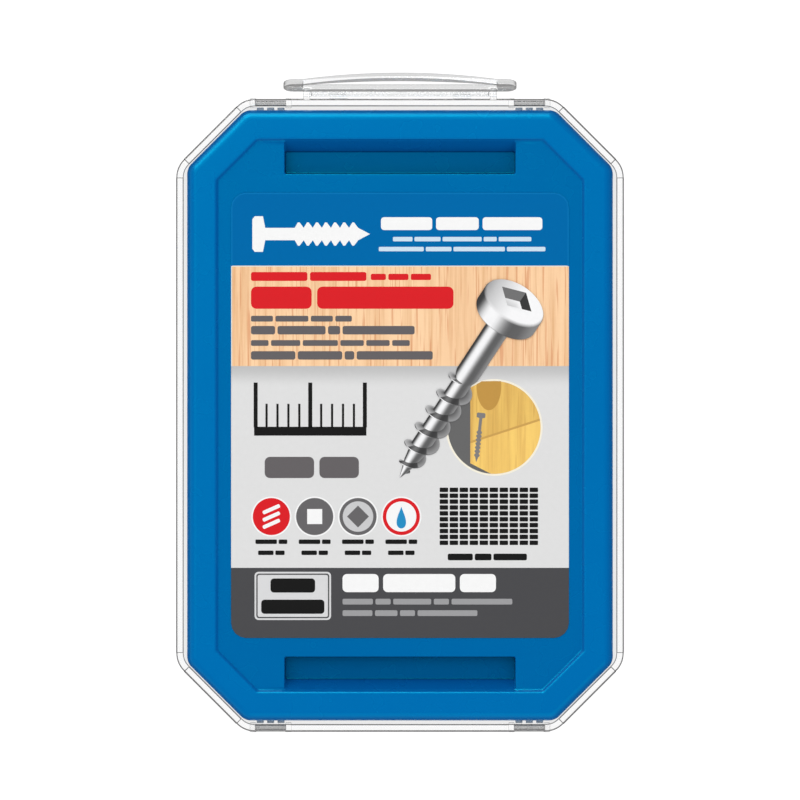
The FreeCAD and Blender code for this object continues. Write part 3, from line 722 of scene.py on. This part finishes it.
def hook_outline():
    """A hook that clips over the low end's bar, as (y, z)."""
    bore = BAR_RADIUS + HOOK_CLEARANCE
    mouth = math.degrees(math.asin(HOOK_MOUTH_HALF / bore))
    tip = -BAR_Y - HOOK_REACH
    edge = [(-HOOK_ROOT, HOOK_HALF_HEIGHT), (tip + HOOK_BEVEL, HOOK_HALF_HEIGHT),
            (tip, HOOK_HALF_HEIGHT - HOOK_BEVEL), (tip, HOOK_MOUTH_HALF)]
    low = [(y, BAR_Z - z) for y, z in edge]
    high = [(y, BAR_Z + z) for y, z in reversed(edge)]
    return low + arc(-BAR_Y, BAR_Z, bore, 180 + mouth, 360 - 2 * mouth, 16) + high


def make_lid():
    """Skirt, raised frame, sunk panel with two finger pockets, and the same a wall's thickness inside."""
    profile = rounded_profile([
        (5.9, 29.3, 0, 0), (5.0, 29.3, 0.15, 0), (5.0, 30.15, 0.3, 0), (LID_WALL, 30.15, 0.6, 0),
        (LID_WALL, SKIRT_BOTTOM, 0.35, 0), (0, SKIRT_BOTTOM, 0.35, 0), (0, PACK_HEIGHT, 2.2, 0),
        (FRAME_WIDTH - 0.15, PACK_HEIGHT, 0.6, 0), (FRAME_WIDTH + 0.45, PANEL_HEIGHT, 0.4, 0),
        (FRAME_WIDTH + 0.75, PANEL_HEIGHT, 0, 0)], steps=9)
    bm = bmesh.new()
    rings = add_skin(bm, [octagon_ring(LID_SHAPE, *spot) for spot in profile])
    add_sheet(bm, rings[-1:])
    add_sheet(bm, rings[:1])
    lid = to_object(bm, "lid_shell")
    outsides, insides, hooks, lugs = [bmesh.new() for _ in range(4)]
    for end in (-1, 1):
        add_pocket(outsides, end, POCKET_OUTSIDE, 0.6)
        add_pocket(insides, end, POCKET_INSIDE, 0.35)
    combine(lid, outsides, "UNION")
    combine(lid, insides, "DIFFERENCE")
    for side in (-1, 1):
        for k in (-1, 0, 1):
            middle = side * HINGE_X + k * HOOK_PITCH
            add_extrusion(hooks, hook_outline(), around(middle, HOOK_WIDTH / 2))
            for end in (-1, 1):
                add_block(lugs, around(middle, LUG_WIDTH / 2), sorted((end * HOOK_ROOT, end * LUG_TIP)),
                          around(BAR_Z, LUG_HALF_HEIGHT), 0.12)
    dress(to_object(hooks, "lid_hooks"), CLEAR, "lid", ["lid"])
    dress(to_object(lugs, "lid_lugs"), SHADED_BLUE_CLEAR, "lid", ["lid"])
    dress(lid, BLUE, "lid", ["lid"], weighted=True)


# Hang tab, drawn flat with its hinge axis on X, then turned down beside the wall

def arch(half, end_y, crest_y):
    """An arc from right to left over a crest."""
    rise = crest_y - end_y
    radius = (half * half + rise * rise) / (2 * rise)
    spread = math.degrees(math.asin(half / radius))
    return arc(0, crest_y - radius, radius, 90 - spread, 2 * spread, 36)


def bevelled_plate(outline, holes, thickness, bevel):
    """A flat plate with rounded edges, as a filled curve turned into a mesh."""
    curve = bpy.data.curves.new("plate", "CURVE")
    curve.dimensions = "2D"
    curve.fill_mode = "BOTH"
    curve.extrude = thickness / 2 - bevel
    curve.bevel_depth = bevel
    curve.bevel_resolution = 3
    curve.offset = -bevel
    for loop in [outline] + holes:
        spline = curve.splines.new("POLY")
        spline.points.add(len(loop) - 1)
        spline.points.foreach_set("co", [c for x, y in loop for c in (x, y, 0, 1)])
        spline.use_cyclic_u = True
    holder = new_object("plate", curve)
    mesh = finished_mesh(holder)
    bpy.data.objects.remove(holder)
    bm = bmesh.new()
    bm.from_mesh(mesh)
    return bm


def make_tab():
    """A bevelled loop with two heels that stop it against the wall, and an axle whose ends are its pins."""
    shoulder = TAB_END - TAB_CORNER
    right = [(TAB_NECK, 0.2), (TAB_NECK, 3.2), (TAB_NECK + 0.3, 3.5)]
    right += arc(shoulder, 5.9, TAB_CORNER, -90, 90, 6) + arc(shoulder, 7.1, TAB_CORNER, 0, 90, 6)
    left = [(-x, y) for x, y in reversed(right)]
    outline = left[-1:] + right + arch(ARCH_HALF, 9.5, TAB_CREST) + left[:-1]
    slot = [(-ARCH_HALF, SLOT_LOW), (ARCH_HALF, SLOT_LOW)] + arch(ARCH_HALF, 8.3, SLOT_CREST)
    tab = to_object(bevelled_plate(outline, [slot], TAB_THICKNESS, 0.25), "tab_loop")
    axle, heels = bmesh.new(), bmesh.new()
    add_rod(axle, around(0, TAB_NECK + PIN_LENGTH), 0, 0, PIN_RADIUS)
    axle = to_object(axle, "tab_axle")
    lean = math.radians(TAB_TILT)
    reach = [(HEEL_STANDOFF + s * math.sin(lean)) / math.cos(lean) for s in HEEL_Y]
    heel = [(HEEL_Y[0], HEEL_TOP), (HEEL_Y[0], -reach[0]), (HEEL_Y[1], -reach[1]), (HEEL_Y[1], HEEL_TOP)]
    for x in (-HEEL_X, HEEL_X):
        add_extrusion(heels, heel, around(x, HEEL_HALF))
    combine(tab, heels, "UNION")
    hang = (Matrix.Translation((0, TAB_AXIS[0] * MM, TAB_AXIS[1] * MM))
            @ Matrix.Rotation(math.radians(TAB_TILT - 90), 4, "X"))
    for piece, plastic, weighted in ((axle, CLEAR, False), (tab, TAB_CLEAR, True)):
        piece.data.transform(hang)
        dress(piece, plastic, "hanger", ["hang_tab"], weighted=weighted)


# Screws

def screw_mesh(sides, turn_steps):
    """A screw in millimetres, with its head's top at the origin and its point along +X."""
    bm = bmesh.new()
    profile = [(0.0, 2.45), (0.05, 2.9), (0.22, 3.45), (0.42, 3.72), (0.6, 3.87), (0.85, HEAD_RADIUS),
               (2.8, HEAD_RADIUS), (2.95, 3.88), (HEAD_HEIGHT, 3.7), (HEAD_HEIGHT, 1.8), (3.12, 1.55),
               (3.4, SHANK_RADIUS), (THREAD_START - 0.5, SHANK_RADIUS), (THREAD_START - 0.1, 1.32),
               (THREAD_START + 0.3, CORE_RADIUS), (POINT_START, CORE_RADIUS), (POINT_START + 2.2, 0.8),
               (SCREW_LENGTH - 0.8, 0.3), (SCREW_LENGTH, 0.02)]
    rings = [[(x, y, z) for y, z in disc_outline(0, 0, radius, sides)] for x, radius in profile]
    edge = add_skin(bm, rings, cap_last=True)[0]
    half = RECESS_HALF
    square = [[(x, y * s, z * s) for y, z in ((half, half), (-half, half), (-half, -half), (half, -half))]
              for x, s in ((0, 1.0), (0.12, 0.95), (RECESS_DEPTH - 0.5, 0.9), (RECESS_DEPTH, 0.3))]
    well = add_skin(bm, square, cap_last=True)[0]
    add_sheet(bm, [edge, well])
    turns = (SCREW_LENGTH - 0.9 - THREAD_START) / THREAD_PITCH
    sections = []
    for k in range(round(turns * turn_steps) + 1):
        x = THREAD_START + THREAD_PITCH * k / turn_steps
        angle = 2 * math.pi * k / turn_steps
        grow = min(1.0, 2.5 * k / turn_steps)
        taper = min(1.0, max(0.0, (SCREW_LENGTH - x) / (SCREW_LENGTH - POINT_START)))
        core = (CORE_RADIUS - 0.15) * (0.2 + 0.8 * taper)
        crest = core + (THREAD_RADIUS - CORE_RADIUS + 0.15) * grow * (0.45 + 0.55 * taper)
        sections.append([(x + dx, r * math.cos(angle), r * math.sin(angle))
                         for dx, r in ((-0.34, core), (-0.05, crest), (0.05, crest), (0.26, core))])
    add_skin(bm, sections, True, True)
    bmesh.ops.recalc_face_normals(bm, faces=bm.faces)
    mesh = bpy.data.meshes.new("screw")
    bm.to_mesh(mesh)
    bm.free()
    return mesh


def islands(bm):
    """The separate solids of a mesh, each as a list of its vertices."""
    seen = set()
    found = []
    for first in bm.verts:
        if first in seen:
            continue
        seen.add(first)
        island = [first]
        for vertex in island:
            others = [edge.other_vert(vertex) for edge in vertex.link_edges]
            fresh = [other for other in others if other not in seen]
            seen.update(fresh)
            island += fresh
        found.append(island)
    return found


def screw_place(spots):
    """Where a packed screw lies: a matrix from its tip, its head's top and its recess."""
    centre = spots.mean(0)
    tip = spots[np.argmax(np.linalg.norm(spots - centre, axis=1))]
    axis = (tip - centre) / np.linalg.norm(tip - centre)
    behind = (tip - spots) @ axis
    top = spots[behind > behind.max() - 0.5 * MM]
    head = top.mean(0)
    corner = Vector(top[np.argmin(np.linalg.norm(top - head, axis=1))] - head).normalized()
    x = Vector(axis)
    turned = x.cross(corner)
    y = (corner - turned).normalized()
    z = (corner + turned).normalized()
    place = Matrix((x, y, z)).transposed().to_4x4()
    place.translation = Vector(head)
    return place


def screw_places(node):
    """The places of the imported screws, from low to high."""
    bm = bmesh.new()
    bm.from_mesh(node.data)
    bmesh.ops.remove_doubles(bm, verts=bm.verts, dist=1e-6)
    places = [screw_place(np.array([v.co for v in island])) for island in islands(bm)]
    bm.free()
    return sorted(places, key=lambda place: (round(place.translation.z, 6), round(place.translation.x, 6)))


def make_screws():
    """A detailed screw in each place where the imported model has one, in a low and a high piece."""
    one = screw_mesh(22, 14)
    corners = np.array([v.co for v in one.vertices]) * MM
    faces = [list(p.vertices) for p in one.polygons]
    places = screw_places(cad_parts["screws"])
    half = len(places) // 2
    for name, share in (("screws_low", places[:half]), ("screws_high", places[half:])):
        vertices = []
        polygons = []
        for place in share:
            start = len(vertices)
            turn = np.array(place.to_3x3())
            vertices += (corners @ turn.T + np.array(place.translation)).tolist()
            polygons += [[start + k for k in face] for face in faces]
        mesh = bpy.data.meshes.new(name)
        mesh.from_pydata(vertices, [], polygons)
        mesh.update()
        dress(new_object(name, mesh), ZINC, "tub", ["screws"], sharp=38)


# Label and what is printed on it. Flat shapes are kept by ink and made into one piece for each.

inks = {}


def ink_layer(name, layer, outline):
    """A flat shape of an ink; each layer lies a step above the one below it."""
    if name not in inks:
        inks[name] = bmesh.new()
    low = LABEL_TOP + INK_STEP * layer
    add_plate(inks[name], outline, low - INK_OVERLAP, low + INK_STEP)


def word_bars(name, layer, x0, x1, y0, y1, words, gap=0.45):
    """A line of print as plain rounded bars, one for each word."""
    height = y1 - y0
    space = gap * height
    unit = (x1 - x0 - space * (len(words) - 1)) / sum(words)
    x = x0
    for word in words:
        ink_layer(name, layer, box_outline(x, x + unit * word, y0, y1, 0.24 * height))
        x += unit * word + space


def screw_outline(x, y, length, radius):
    """A plain side view of a screw, pointing to the right."""
    teeth = 7
    start = x + 0.36 * length
    pitch = (x + 0.9 * length - start) / teeth
    upper = [(x, 1.9 * radius), (x + 0.02 * length, 2.3 * radius), (x + 0.09 * length, 2.3 * radius),
             (x + 0.11 * length, 0.8 * radius), (start, 0.8 * radius)]
    for k in range(teeth):
        upper += [(start + pitch * (k + 0.35), 1.5 * radius), (start + pitch * (k + 0.55), 1.5 * radius),
                  (start + pitch * (k + 1), 0.8 * radius)]
    points = upper + [(x + length, 0)]
    return [(px, y + py) for px, py in points] + [(px, y - py) for px, py in reversed(upper)]


def drop_outline(x, y, size):
    points = []
    for k in range(40):
        t = 2 * math.pi * k / 40
        narrow = math.sin(t / 2) ** 1.6
        points.append((x + 0.62 * size * math.sin(t) * narrow, y + size * math.cos(t)))
    return points


def turned_outline(outline, x, y, degrees):
    turn = Matrix.Rotation(math.radians(degrees), 2)
    return [tuple(turn @ Vector(p) + Vector((x, y))) for p in outline]


def print_header():
    ink_layer("white", 1, screw_outline(-33.4, 41.0, 26.6, 1.75))
    word_bars("white", 1, -4.3, 32.2, 41.9, 44.8, (6, 5, 7), 0.3)
    word_bars("white_thin", 1, -1.6, 29.7, 39.35, 40.35, (3, 4, 6, 2, 5))
    word_bars("white_thin", 1, -4.8, 32.9, 37.1, 38.1, (7, 4, 8, 6))


def print_wood_band():
    word_bars("red", 1, -33.7, -7.6, 30.4, 32.4, (6, 6), 0.3)
    word_bars("red", 1, -6.6, 7.0, 30.6, 32.0, (3, 4, 4), 0.4)
    word_bars("red", 1, -33.7, 12.1, 24.1, 29.1, (4, 9), 0.25)
    word_bars("grey", 1, -33.7, -10.9, 21.2, 22.5, (4, 6, 4, 3))
    word_bars("grey", 1, -33.7, 3.3, 18.3, 20.2, (4, 8, 2, 12), 0.3)
    word_bars("grey", 1, -33.7, 2.2, 15.7, 17.0, (3, 5, 6, 4, 4, 3))
    word_bars("grey", 1, -33.7, 7.4, 12.6, 14.5, (7, 7, 1.5, 12), 0.3)


def print_scale():
    """A plain scale as long as the screw, with its ticks."""
    low, high = -33.0, -7.6
    ink_layer("black", 1, box_outline(low, high, -4.6, -2.6))
    for k in range(11):
        x = low + 0.35 + (high - low - 0.7) * k / 10
        top, width = (7.4, 0.9) if k % 5 == 0 else (2.6, 0.5)
        ink_layer("black", 1, box_outline(*around(x, width / 2), -2.7, top))
    word_bars("grey", 1, -30.6, -9.3, -14.2, -9.4, (5, 4), 0.25)


def print_symbols():
    """Four round signs with two short lines under each: stripes, a square, a turned square and a drop."""
    y, radius = -22.9, 4.2
    stripes, upright, turned, drop = places = (-29.1, -19.3, -9.5, 0.3)
    for x, colour in zip(places, ("red", "symbol_grey", "symbol_grey", "red")):
        ink_layer("white", 1, disc_outline(x, y, radius + 0.35))
        ink_layer(colour, 2, disc_outline(x, y, radius))
        word_bars("black", 1, x - 3.6, x + 3.6, -29.1, -28.1, (5, 2), 0.4)
        word_bars("black", 1, x - 3.0, x + 3.0, -31.6, -30.6, (5, 3), 0.4)
    for k in (-1, 0, 1):
        stripe = box_outline(-2.1, 2.1, -0.42, 0.42, 0.3)
        ink_layer("white", 3, turned_outline(stripe, stripes, y + 1.65 * k, 24))
    ink_layer("white", 3, box_outline(*around(upright, 1.7), *around(y, 1.7)))
    ink_layer("symbol_pale", 3, disc_outline(turned, y, radius - 0.75))
    square = box_outline(-1.75, 1.75, -1.75, 1.75)
    ink_layer("symbol_grey", 4, turned_outline(square, turned, y, 45))
    ink_layer("white", 3, disc_outline(drop, y, radius - 0.8))
    ink_layer("water_blue", 4, drop_outline(drop, y - 0.2, 2.5))


def print_count():
    """A hundred dashes, one for each screw."""
    x0, x1, y0, y1 = 8.8, 31.4, -29.5, -16.2
    for row in range(10):
        for column in range(10):
            x = x0 + (x1 - x0) * (column + 0.5) / 10
            y = y0 + (y1 - y0) * (row + 0.5) / 10
            ink_layer("black", 1, box_outline(*around(x, 0.95), *around(y, 0.5), 0.15))
    word_bars("black", 1, 10.8, 28.7, -32.8, -31.3, (3, 2, 4), 0.3)


def print_foot():
    ink_layer("plate_pale", 1, box_outline(-32.9, -15.6, -46.3, -35.4, 0.9))
    ink_layer("foot_grey", 2, box_outline(-32.5, -16.0, -45.9, -35.8, 0.6))
    ink_layer("plate_pale", 3, box_outline(-32.2, -16.3, -45.6, -36.1, 0.4))
    word_bars("black", 4, -29.3, -19.2, -40.1, -36.9, (1,), 0.3)
    word_bars("black", 4, -31.4, -17.1, -44.9, -41.7, (1,), 0.3)
    word_bars("white", 1, -13.0, 21.7, -40.0, -35.9, (4, 8, 4), 0.25)
    word_bars("pale_thin", 1, -13.0, 25.4, -42.8, -41.5, (4, 2, 5, 2, 8))
    word_bars("pale_thin", 1, -13.0, 17.5, -45.4, -44.1, (4, 3, 2, 8))


def clipped(outline, corner, degrees):
    """What of a convex outline lies to the left of a line through a corner in a direction."""
    normal = Vector((-math.sin(math.radians(degrees)), math.cos(math.radians(degrees))))
    heights = [(Vector(p) - Vector(corner)).dot(normal) for p in outline]
    kept = []
    for k, (point, height) in enumerate(zip(outline, heights)):
        before = heights[k - 1]
        if before * height < 0:
            kept.append(tuple(Vector(outline[k - 1]).lerp(Vector(point), before / (before - height))))
        if height >= 0:
            kept.append(point)
    return kept


def print_wood_inset():
    """A round view of a board with a pocket hole on a base board, in front of a grey wall."""
    x, y, radius = 21.3, -2.75, 10.95
    disc = disc_outline(x, y, radius - 0.45, 180)
    ink_layer("inset_rim", 1, disc_outline(x, y, radius, 96))
    ink_layer("wall_grey", 2, disc)
    left = x - 5.4
    boards = clipped(clipped(disc, (left, y), -90), (left, y - 8.1), -27)
    joint = (left, y - 3.6)
    upright = clipped(boards, joint, 18)
    base = clipped(boards, joint, 198)
    ink_layer("board_light", 3, upright)
    ink_layer("board_warm", 3, base)
    hole = [(x - 1.2 + 2.8 * px, y + 9.3 + 5.4 * py) for px, py in disc_outline(0, 0, 1)]
    for side, spot in enumerate(disc_outline(x, y, radius - 0.5, 12)):
        hole = clipped(hole, spot, 30 * side + 90)
    ink_layer("hole_brown", 4, hole)
    edge = clipped(clipped(disc, joint, 18), (left, y - 3.1), 198)
    ink_layer("joint_brown", 4, clipped(edge, (left, y), -90))
    ink_layer("small_screw", 5, turned_outline(screw_outline(0, 0, 11.2, 0.42), x - 2.9, y + 3.3, -96))


INK_COLOURS = {
    "white": (0.93, 0.93, 0.93), "white_thin": (0.62, 0.76, 0.88), "red": (0.72, 0.006, 0.012),
    "grey": (0.13, 0.12, 0.125), "black": (0.006, 0.006, 0.006), "symbol_grey": (0.135, 0.13, 0.135),
    "symbol_pale": (0.60, 0.60, 0.61), "water_blue": (0.012, 0.27, 0.56), "plate_pale": (0.70, 0.70, 0.71),
    "foot_grey": FOOT_GREY, "wall_grey": (0.135, 0.135, 0.135), "hole_brown": (0.55, 0.30, 0.06),
    "small_screw": (0.22, 0.21, 0.21), "pale_thin": (0.34, 0.34, 0.35), "inset_rim": (0.93, 0.88, 0.74),
    "joint_brown": (0.62, 0.36, 0.09)}
BOARD_COLOURS = {"board_light": ((0.88, 0.56, 0.115), (0.66, 0.36, 0.06)),
                 "board_warm": ((0.98, 0.64, 0.14), (0.80, 0.46, 0.09))}


def make_label():
    """The sheet in the lid's panel, and a piece for each ink that is printed on it."""
    outline = box_outline(*around(0, LABEL_HALF[0]), *around(0, LABEL_HALF[1]), LABEL_CORNER)
    sheet = bevelled_plate(outline, [], LABEL_THICKNESS, 0.06)
    bmesh.ops.translate(sheet, vec=(0, 0, LABEL_TOP - LABEL_THICKNESS / 2), verts=sheet.verts)
    dress(to_object(sheet, "label_sheet"), label_fields_ink(), "lid", ["front_label"], weighted=True)
    for prints in (print_header, print_wood_band, print_scale, print_symbols, print_count, print_foot,
                   print_wood_inset):
        prints()
    for name, bm in inks.items():
        if name in BOARD_COLOURS:
            material = wood_ink("ink_" + name, *BOARD_COLOURS[name])
        else:
            material = ink("ink_" + name, INK_COLOURS[name])
        dress(to_object(bm, "print_" + name), material, "lid")


def picture_tones(corners, normals, along):
    """The printed screw's light and dark at each corner of its faces, from its normals."""
    aside = np.cross(along, (0, 0, 1))
    aside /= np.linalg.norm(aside)
    depth = corners @ along
    radial = np.linalg.norm(corners - depth[:, None] * along, axis=1)
    place = -(corners @ aside)
    across = -(normals @ aside)
    up = normals @ -along
    # Round the side, from left to right, as a studio's cards and the gaps between them light it
    bands = ((-1, -0.86, -0.78, -0.7, -0.6, -0.48, -0.18, -0.08, 0.02, 0.12, 0.2, 0.3, 0.6, 0.75, 0.88, 1),
             (0.12, 0.15, 0.42, 0.68, 0.9, 1.0, 0.99, 0.87, 0.72, 0.55, 0.43, 0.33, 0.35, 0.44, 0.51, 0.53))
    side_tone = np.interp(across, *bands)
    # The head's top, and the thread's upper flank beside the core and over it
    top_tone = np.interp(place, (-3.9, -2.9, -1.2, 0.3), (0.62, 0.78, 0.92, 1.0))
    lobe_tone = np.where(place < 0, 0.74, 0.60)
    core_tone = 0.45 * np.interp(place / CORE_RADIUS, *bands)
    flank_tone = np.where(np.abs(place) > CORE_RADIUS, lobe_tone, core_tone)
    top_tone = np.where(depth > THREAD_START, flank_tone, top_tone)
    share = np.clip((up - 0.35) * 5, 0, 1)
    below = np.clip((-up - 0.35) * 5, 0, 1)
    tone = side_tone * (1 - share - below) + top_tone * share + 0.2 * below
    shallow = depth < RECESS_DEPTH + 0.1
    in_recess = shallow & (radial < 2.4) & (np.abs(up) < 0.9)
    tone[in_recess] = np.where(across[in_recess] > 0.3, 0.42, 0.12)
    tone[shallow & (depth > 1) & (radial < 1.7)] *= 0.8
    return np.clip(tone, 0, 1) ** 2.2


def make_screw_picture():
    """The printed screw: a detailed one turned towards the eye and pressed flat, which keeps its tones."""
    mesh = screw_mesh(64, 44)
    mesh.name = "print_screw"
    for vertex in mesh.vertices:
        vertex.co.x += PICTURE_STRETCH * max(0.0, vertex.co.x - HEAD_HEIGHT)
    turn = Matrix.Identity(4)
    for degrees, axis in PICTURE_TURN:
        turn = turn @ Matrix.Rotation(math.radians(degrees), 4, axis)
    mesh.transform(turn)
    shade_smooth(mesh, 38)
    normals = np.array([n.vector for n in mesh.corner_normals])
    spots = np.array([v.co for v in mesh.vertices])
    corners = spots[[loop.vertex_index for loop in mesh.loops]]
    tone = picture_tones(corners, normals, np.array(turn.to_3x3() @ Vector((1, 0, 0))))
    attribute = mesh.attributes.new("tone", "FLOAT", "CORNER")
    attribute.data.foreach_set("value", tone.astype(np.float32))
    low, high = spots[:, 2].min(), spots[:, 2].max()
    flat = np.empty_like(spots)
    flat[:, :2] = spots[:, :2] * PICTURE_SIZE + np.array(PICTURE_PLACE)
    flat[:, 2] = LABEL_TOP + 5 * INK_STEP + PICTURE_RELIEF * (spots[:, 2] - low) / (high - low)
    mesh.vertices.foreach_set("co", (flat * MM).ravel())
    mesh.update()
    dress(new_object("print_screw", mesh), picture_ink(), "lid", sharp=38)


# Stage: white floor that keeps the object's shadow, a studio sky, two soft lamps and the camera

def make_floor():
    bm = bmesh.new()
    add_block(bm, around(0, FLOOR_HALF), around(0, FLOOR_HALF), FLOOR_Z)
    floor = to_object(bm, "floor")
    material = bpy.data.materials.new("floor")
    material.use_nodes = True
    tree = material.node_tree
    tree.nodes.clear()
    paths = add_node(tree, "LightPath").outputs
    seen = math_of(tree, "MAXIMUM", paths["Is Camera Ray"], paths["Is Transmission Ray"])
    level = math_of(tree, "MULTIPLY_ADD", paths["Is Glossy Ray"], -0.62, 0.7)
    paper = add_node(tree, "BsdfDiffuse", {"Color": level})
    glow = add_node(tree, "Emission", {"Color": (1, 1, 1, 1), "Strength": 1.15})
    share = times(tree, seen, 0.88)
    mixed = add_node(tree, "MixShader", {0: share, 1: paper.outputs[0], 2: glow.outputs[0]})
    add_node(tree, "OutputMaterial", {0: mixed.outputs[0]})
    floor.data.materials.append(material)


def make_sky():
    world = bpy.data.worlds.new("studio")
    world.use_nodes = True
    bpy.context.scene.world = world
    tree = world.node_tree
    tree.nodes.clear()
    aim = add_node(tree, "TexCoord").outputs["Generated"]
    up = axis_of(tree, aim, "Z")
    paths = add_node(tree, "LightPath").outputs
    level = map_range(tree, up, 0.1, 0.9, 0.30, 0.95)
    mirrored = map_range(tree, up, 0.35, 0.9, 0.6, 0.10)
    dimmed = map_range(tree, axis_of(tree, aim, "X"), 0.2, 0.8, 1.0, 0.15)
    mirrored = times(tree, mirrored, dimmed)
    level = add_node(tree, "Mix", {0: paths["Is Glossy Ray"], 2: level, 3: mirrored}).outputs[0]
    strength = add_node(tree, "Mix", {0: paths["Is Camera Ray"], 2: level, 3: 1.0}).outputs[0]
    background = add_node(tree, "Background", {"Color": (1, 1, 1, 1), "Strength": strength})
    add_node(tree, "OutputWorld", {0: background.outputs[0]})


def add_lamp(name, place, power, size, gloss_only=False):
    lamp = bpy.data.lights.new(name, "AREA")
    lamp.energy = power
    lamp.size = size
    holder = new_object(name, lamp)
    holder.visible_diffuse = not gloss_only
    holder.location = place
    holder.rotation_euler = (-Vector(place)).to_track_quat("-Z", "Y").to_euler()


def make_camera():
    camera = bpy.data.cameras.new("camera")
    camera.lens = SENSOR_WIDTH * CAMERA_DISTANCE / VIEW_WIDTH
    camera.clip_start = 0.05
    camera.clip_end = 20
    holder = new_object("camera", camera)
    holder.location = (0, VIEW_CENTRE, PACK_HEIGHT * MM + CAMERA_DISTANCE)
    bpy.context.scene.camera = holder


make_tub()
make_lid()
make_tab()
make_screws()
make_label()
make_screw_picture()
make_floor()
make_sky()
add_lamp("key", (-0.33, 0.60, 1.20), 5.0, 1.2)
add_lamp("fill", (0.35, -0.9, 0.9), 2.0, 1.0)
add_lamp("edge_card", (-0.44, 1.18, 0.80), 17.0, 1.15, gloss_only=True)
make_camera()
bpy.context.scene.view_settings.view_transform = "Standard"
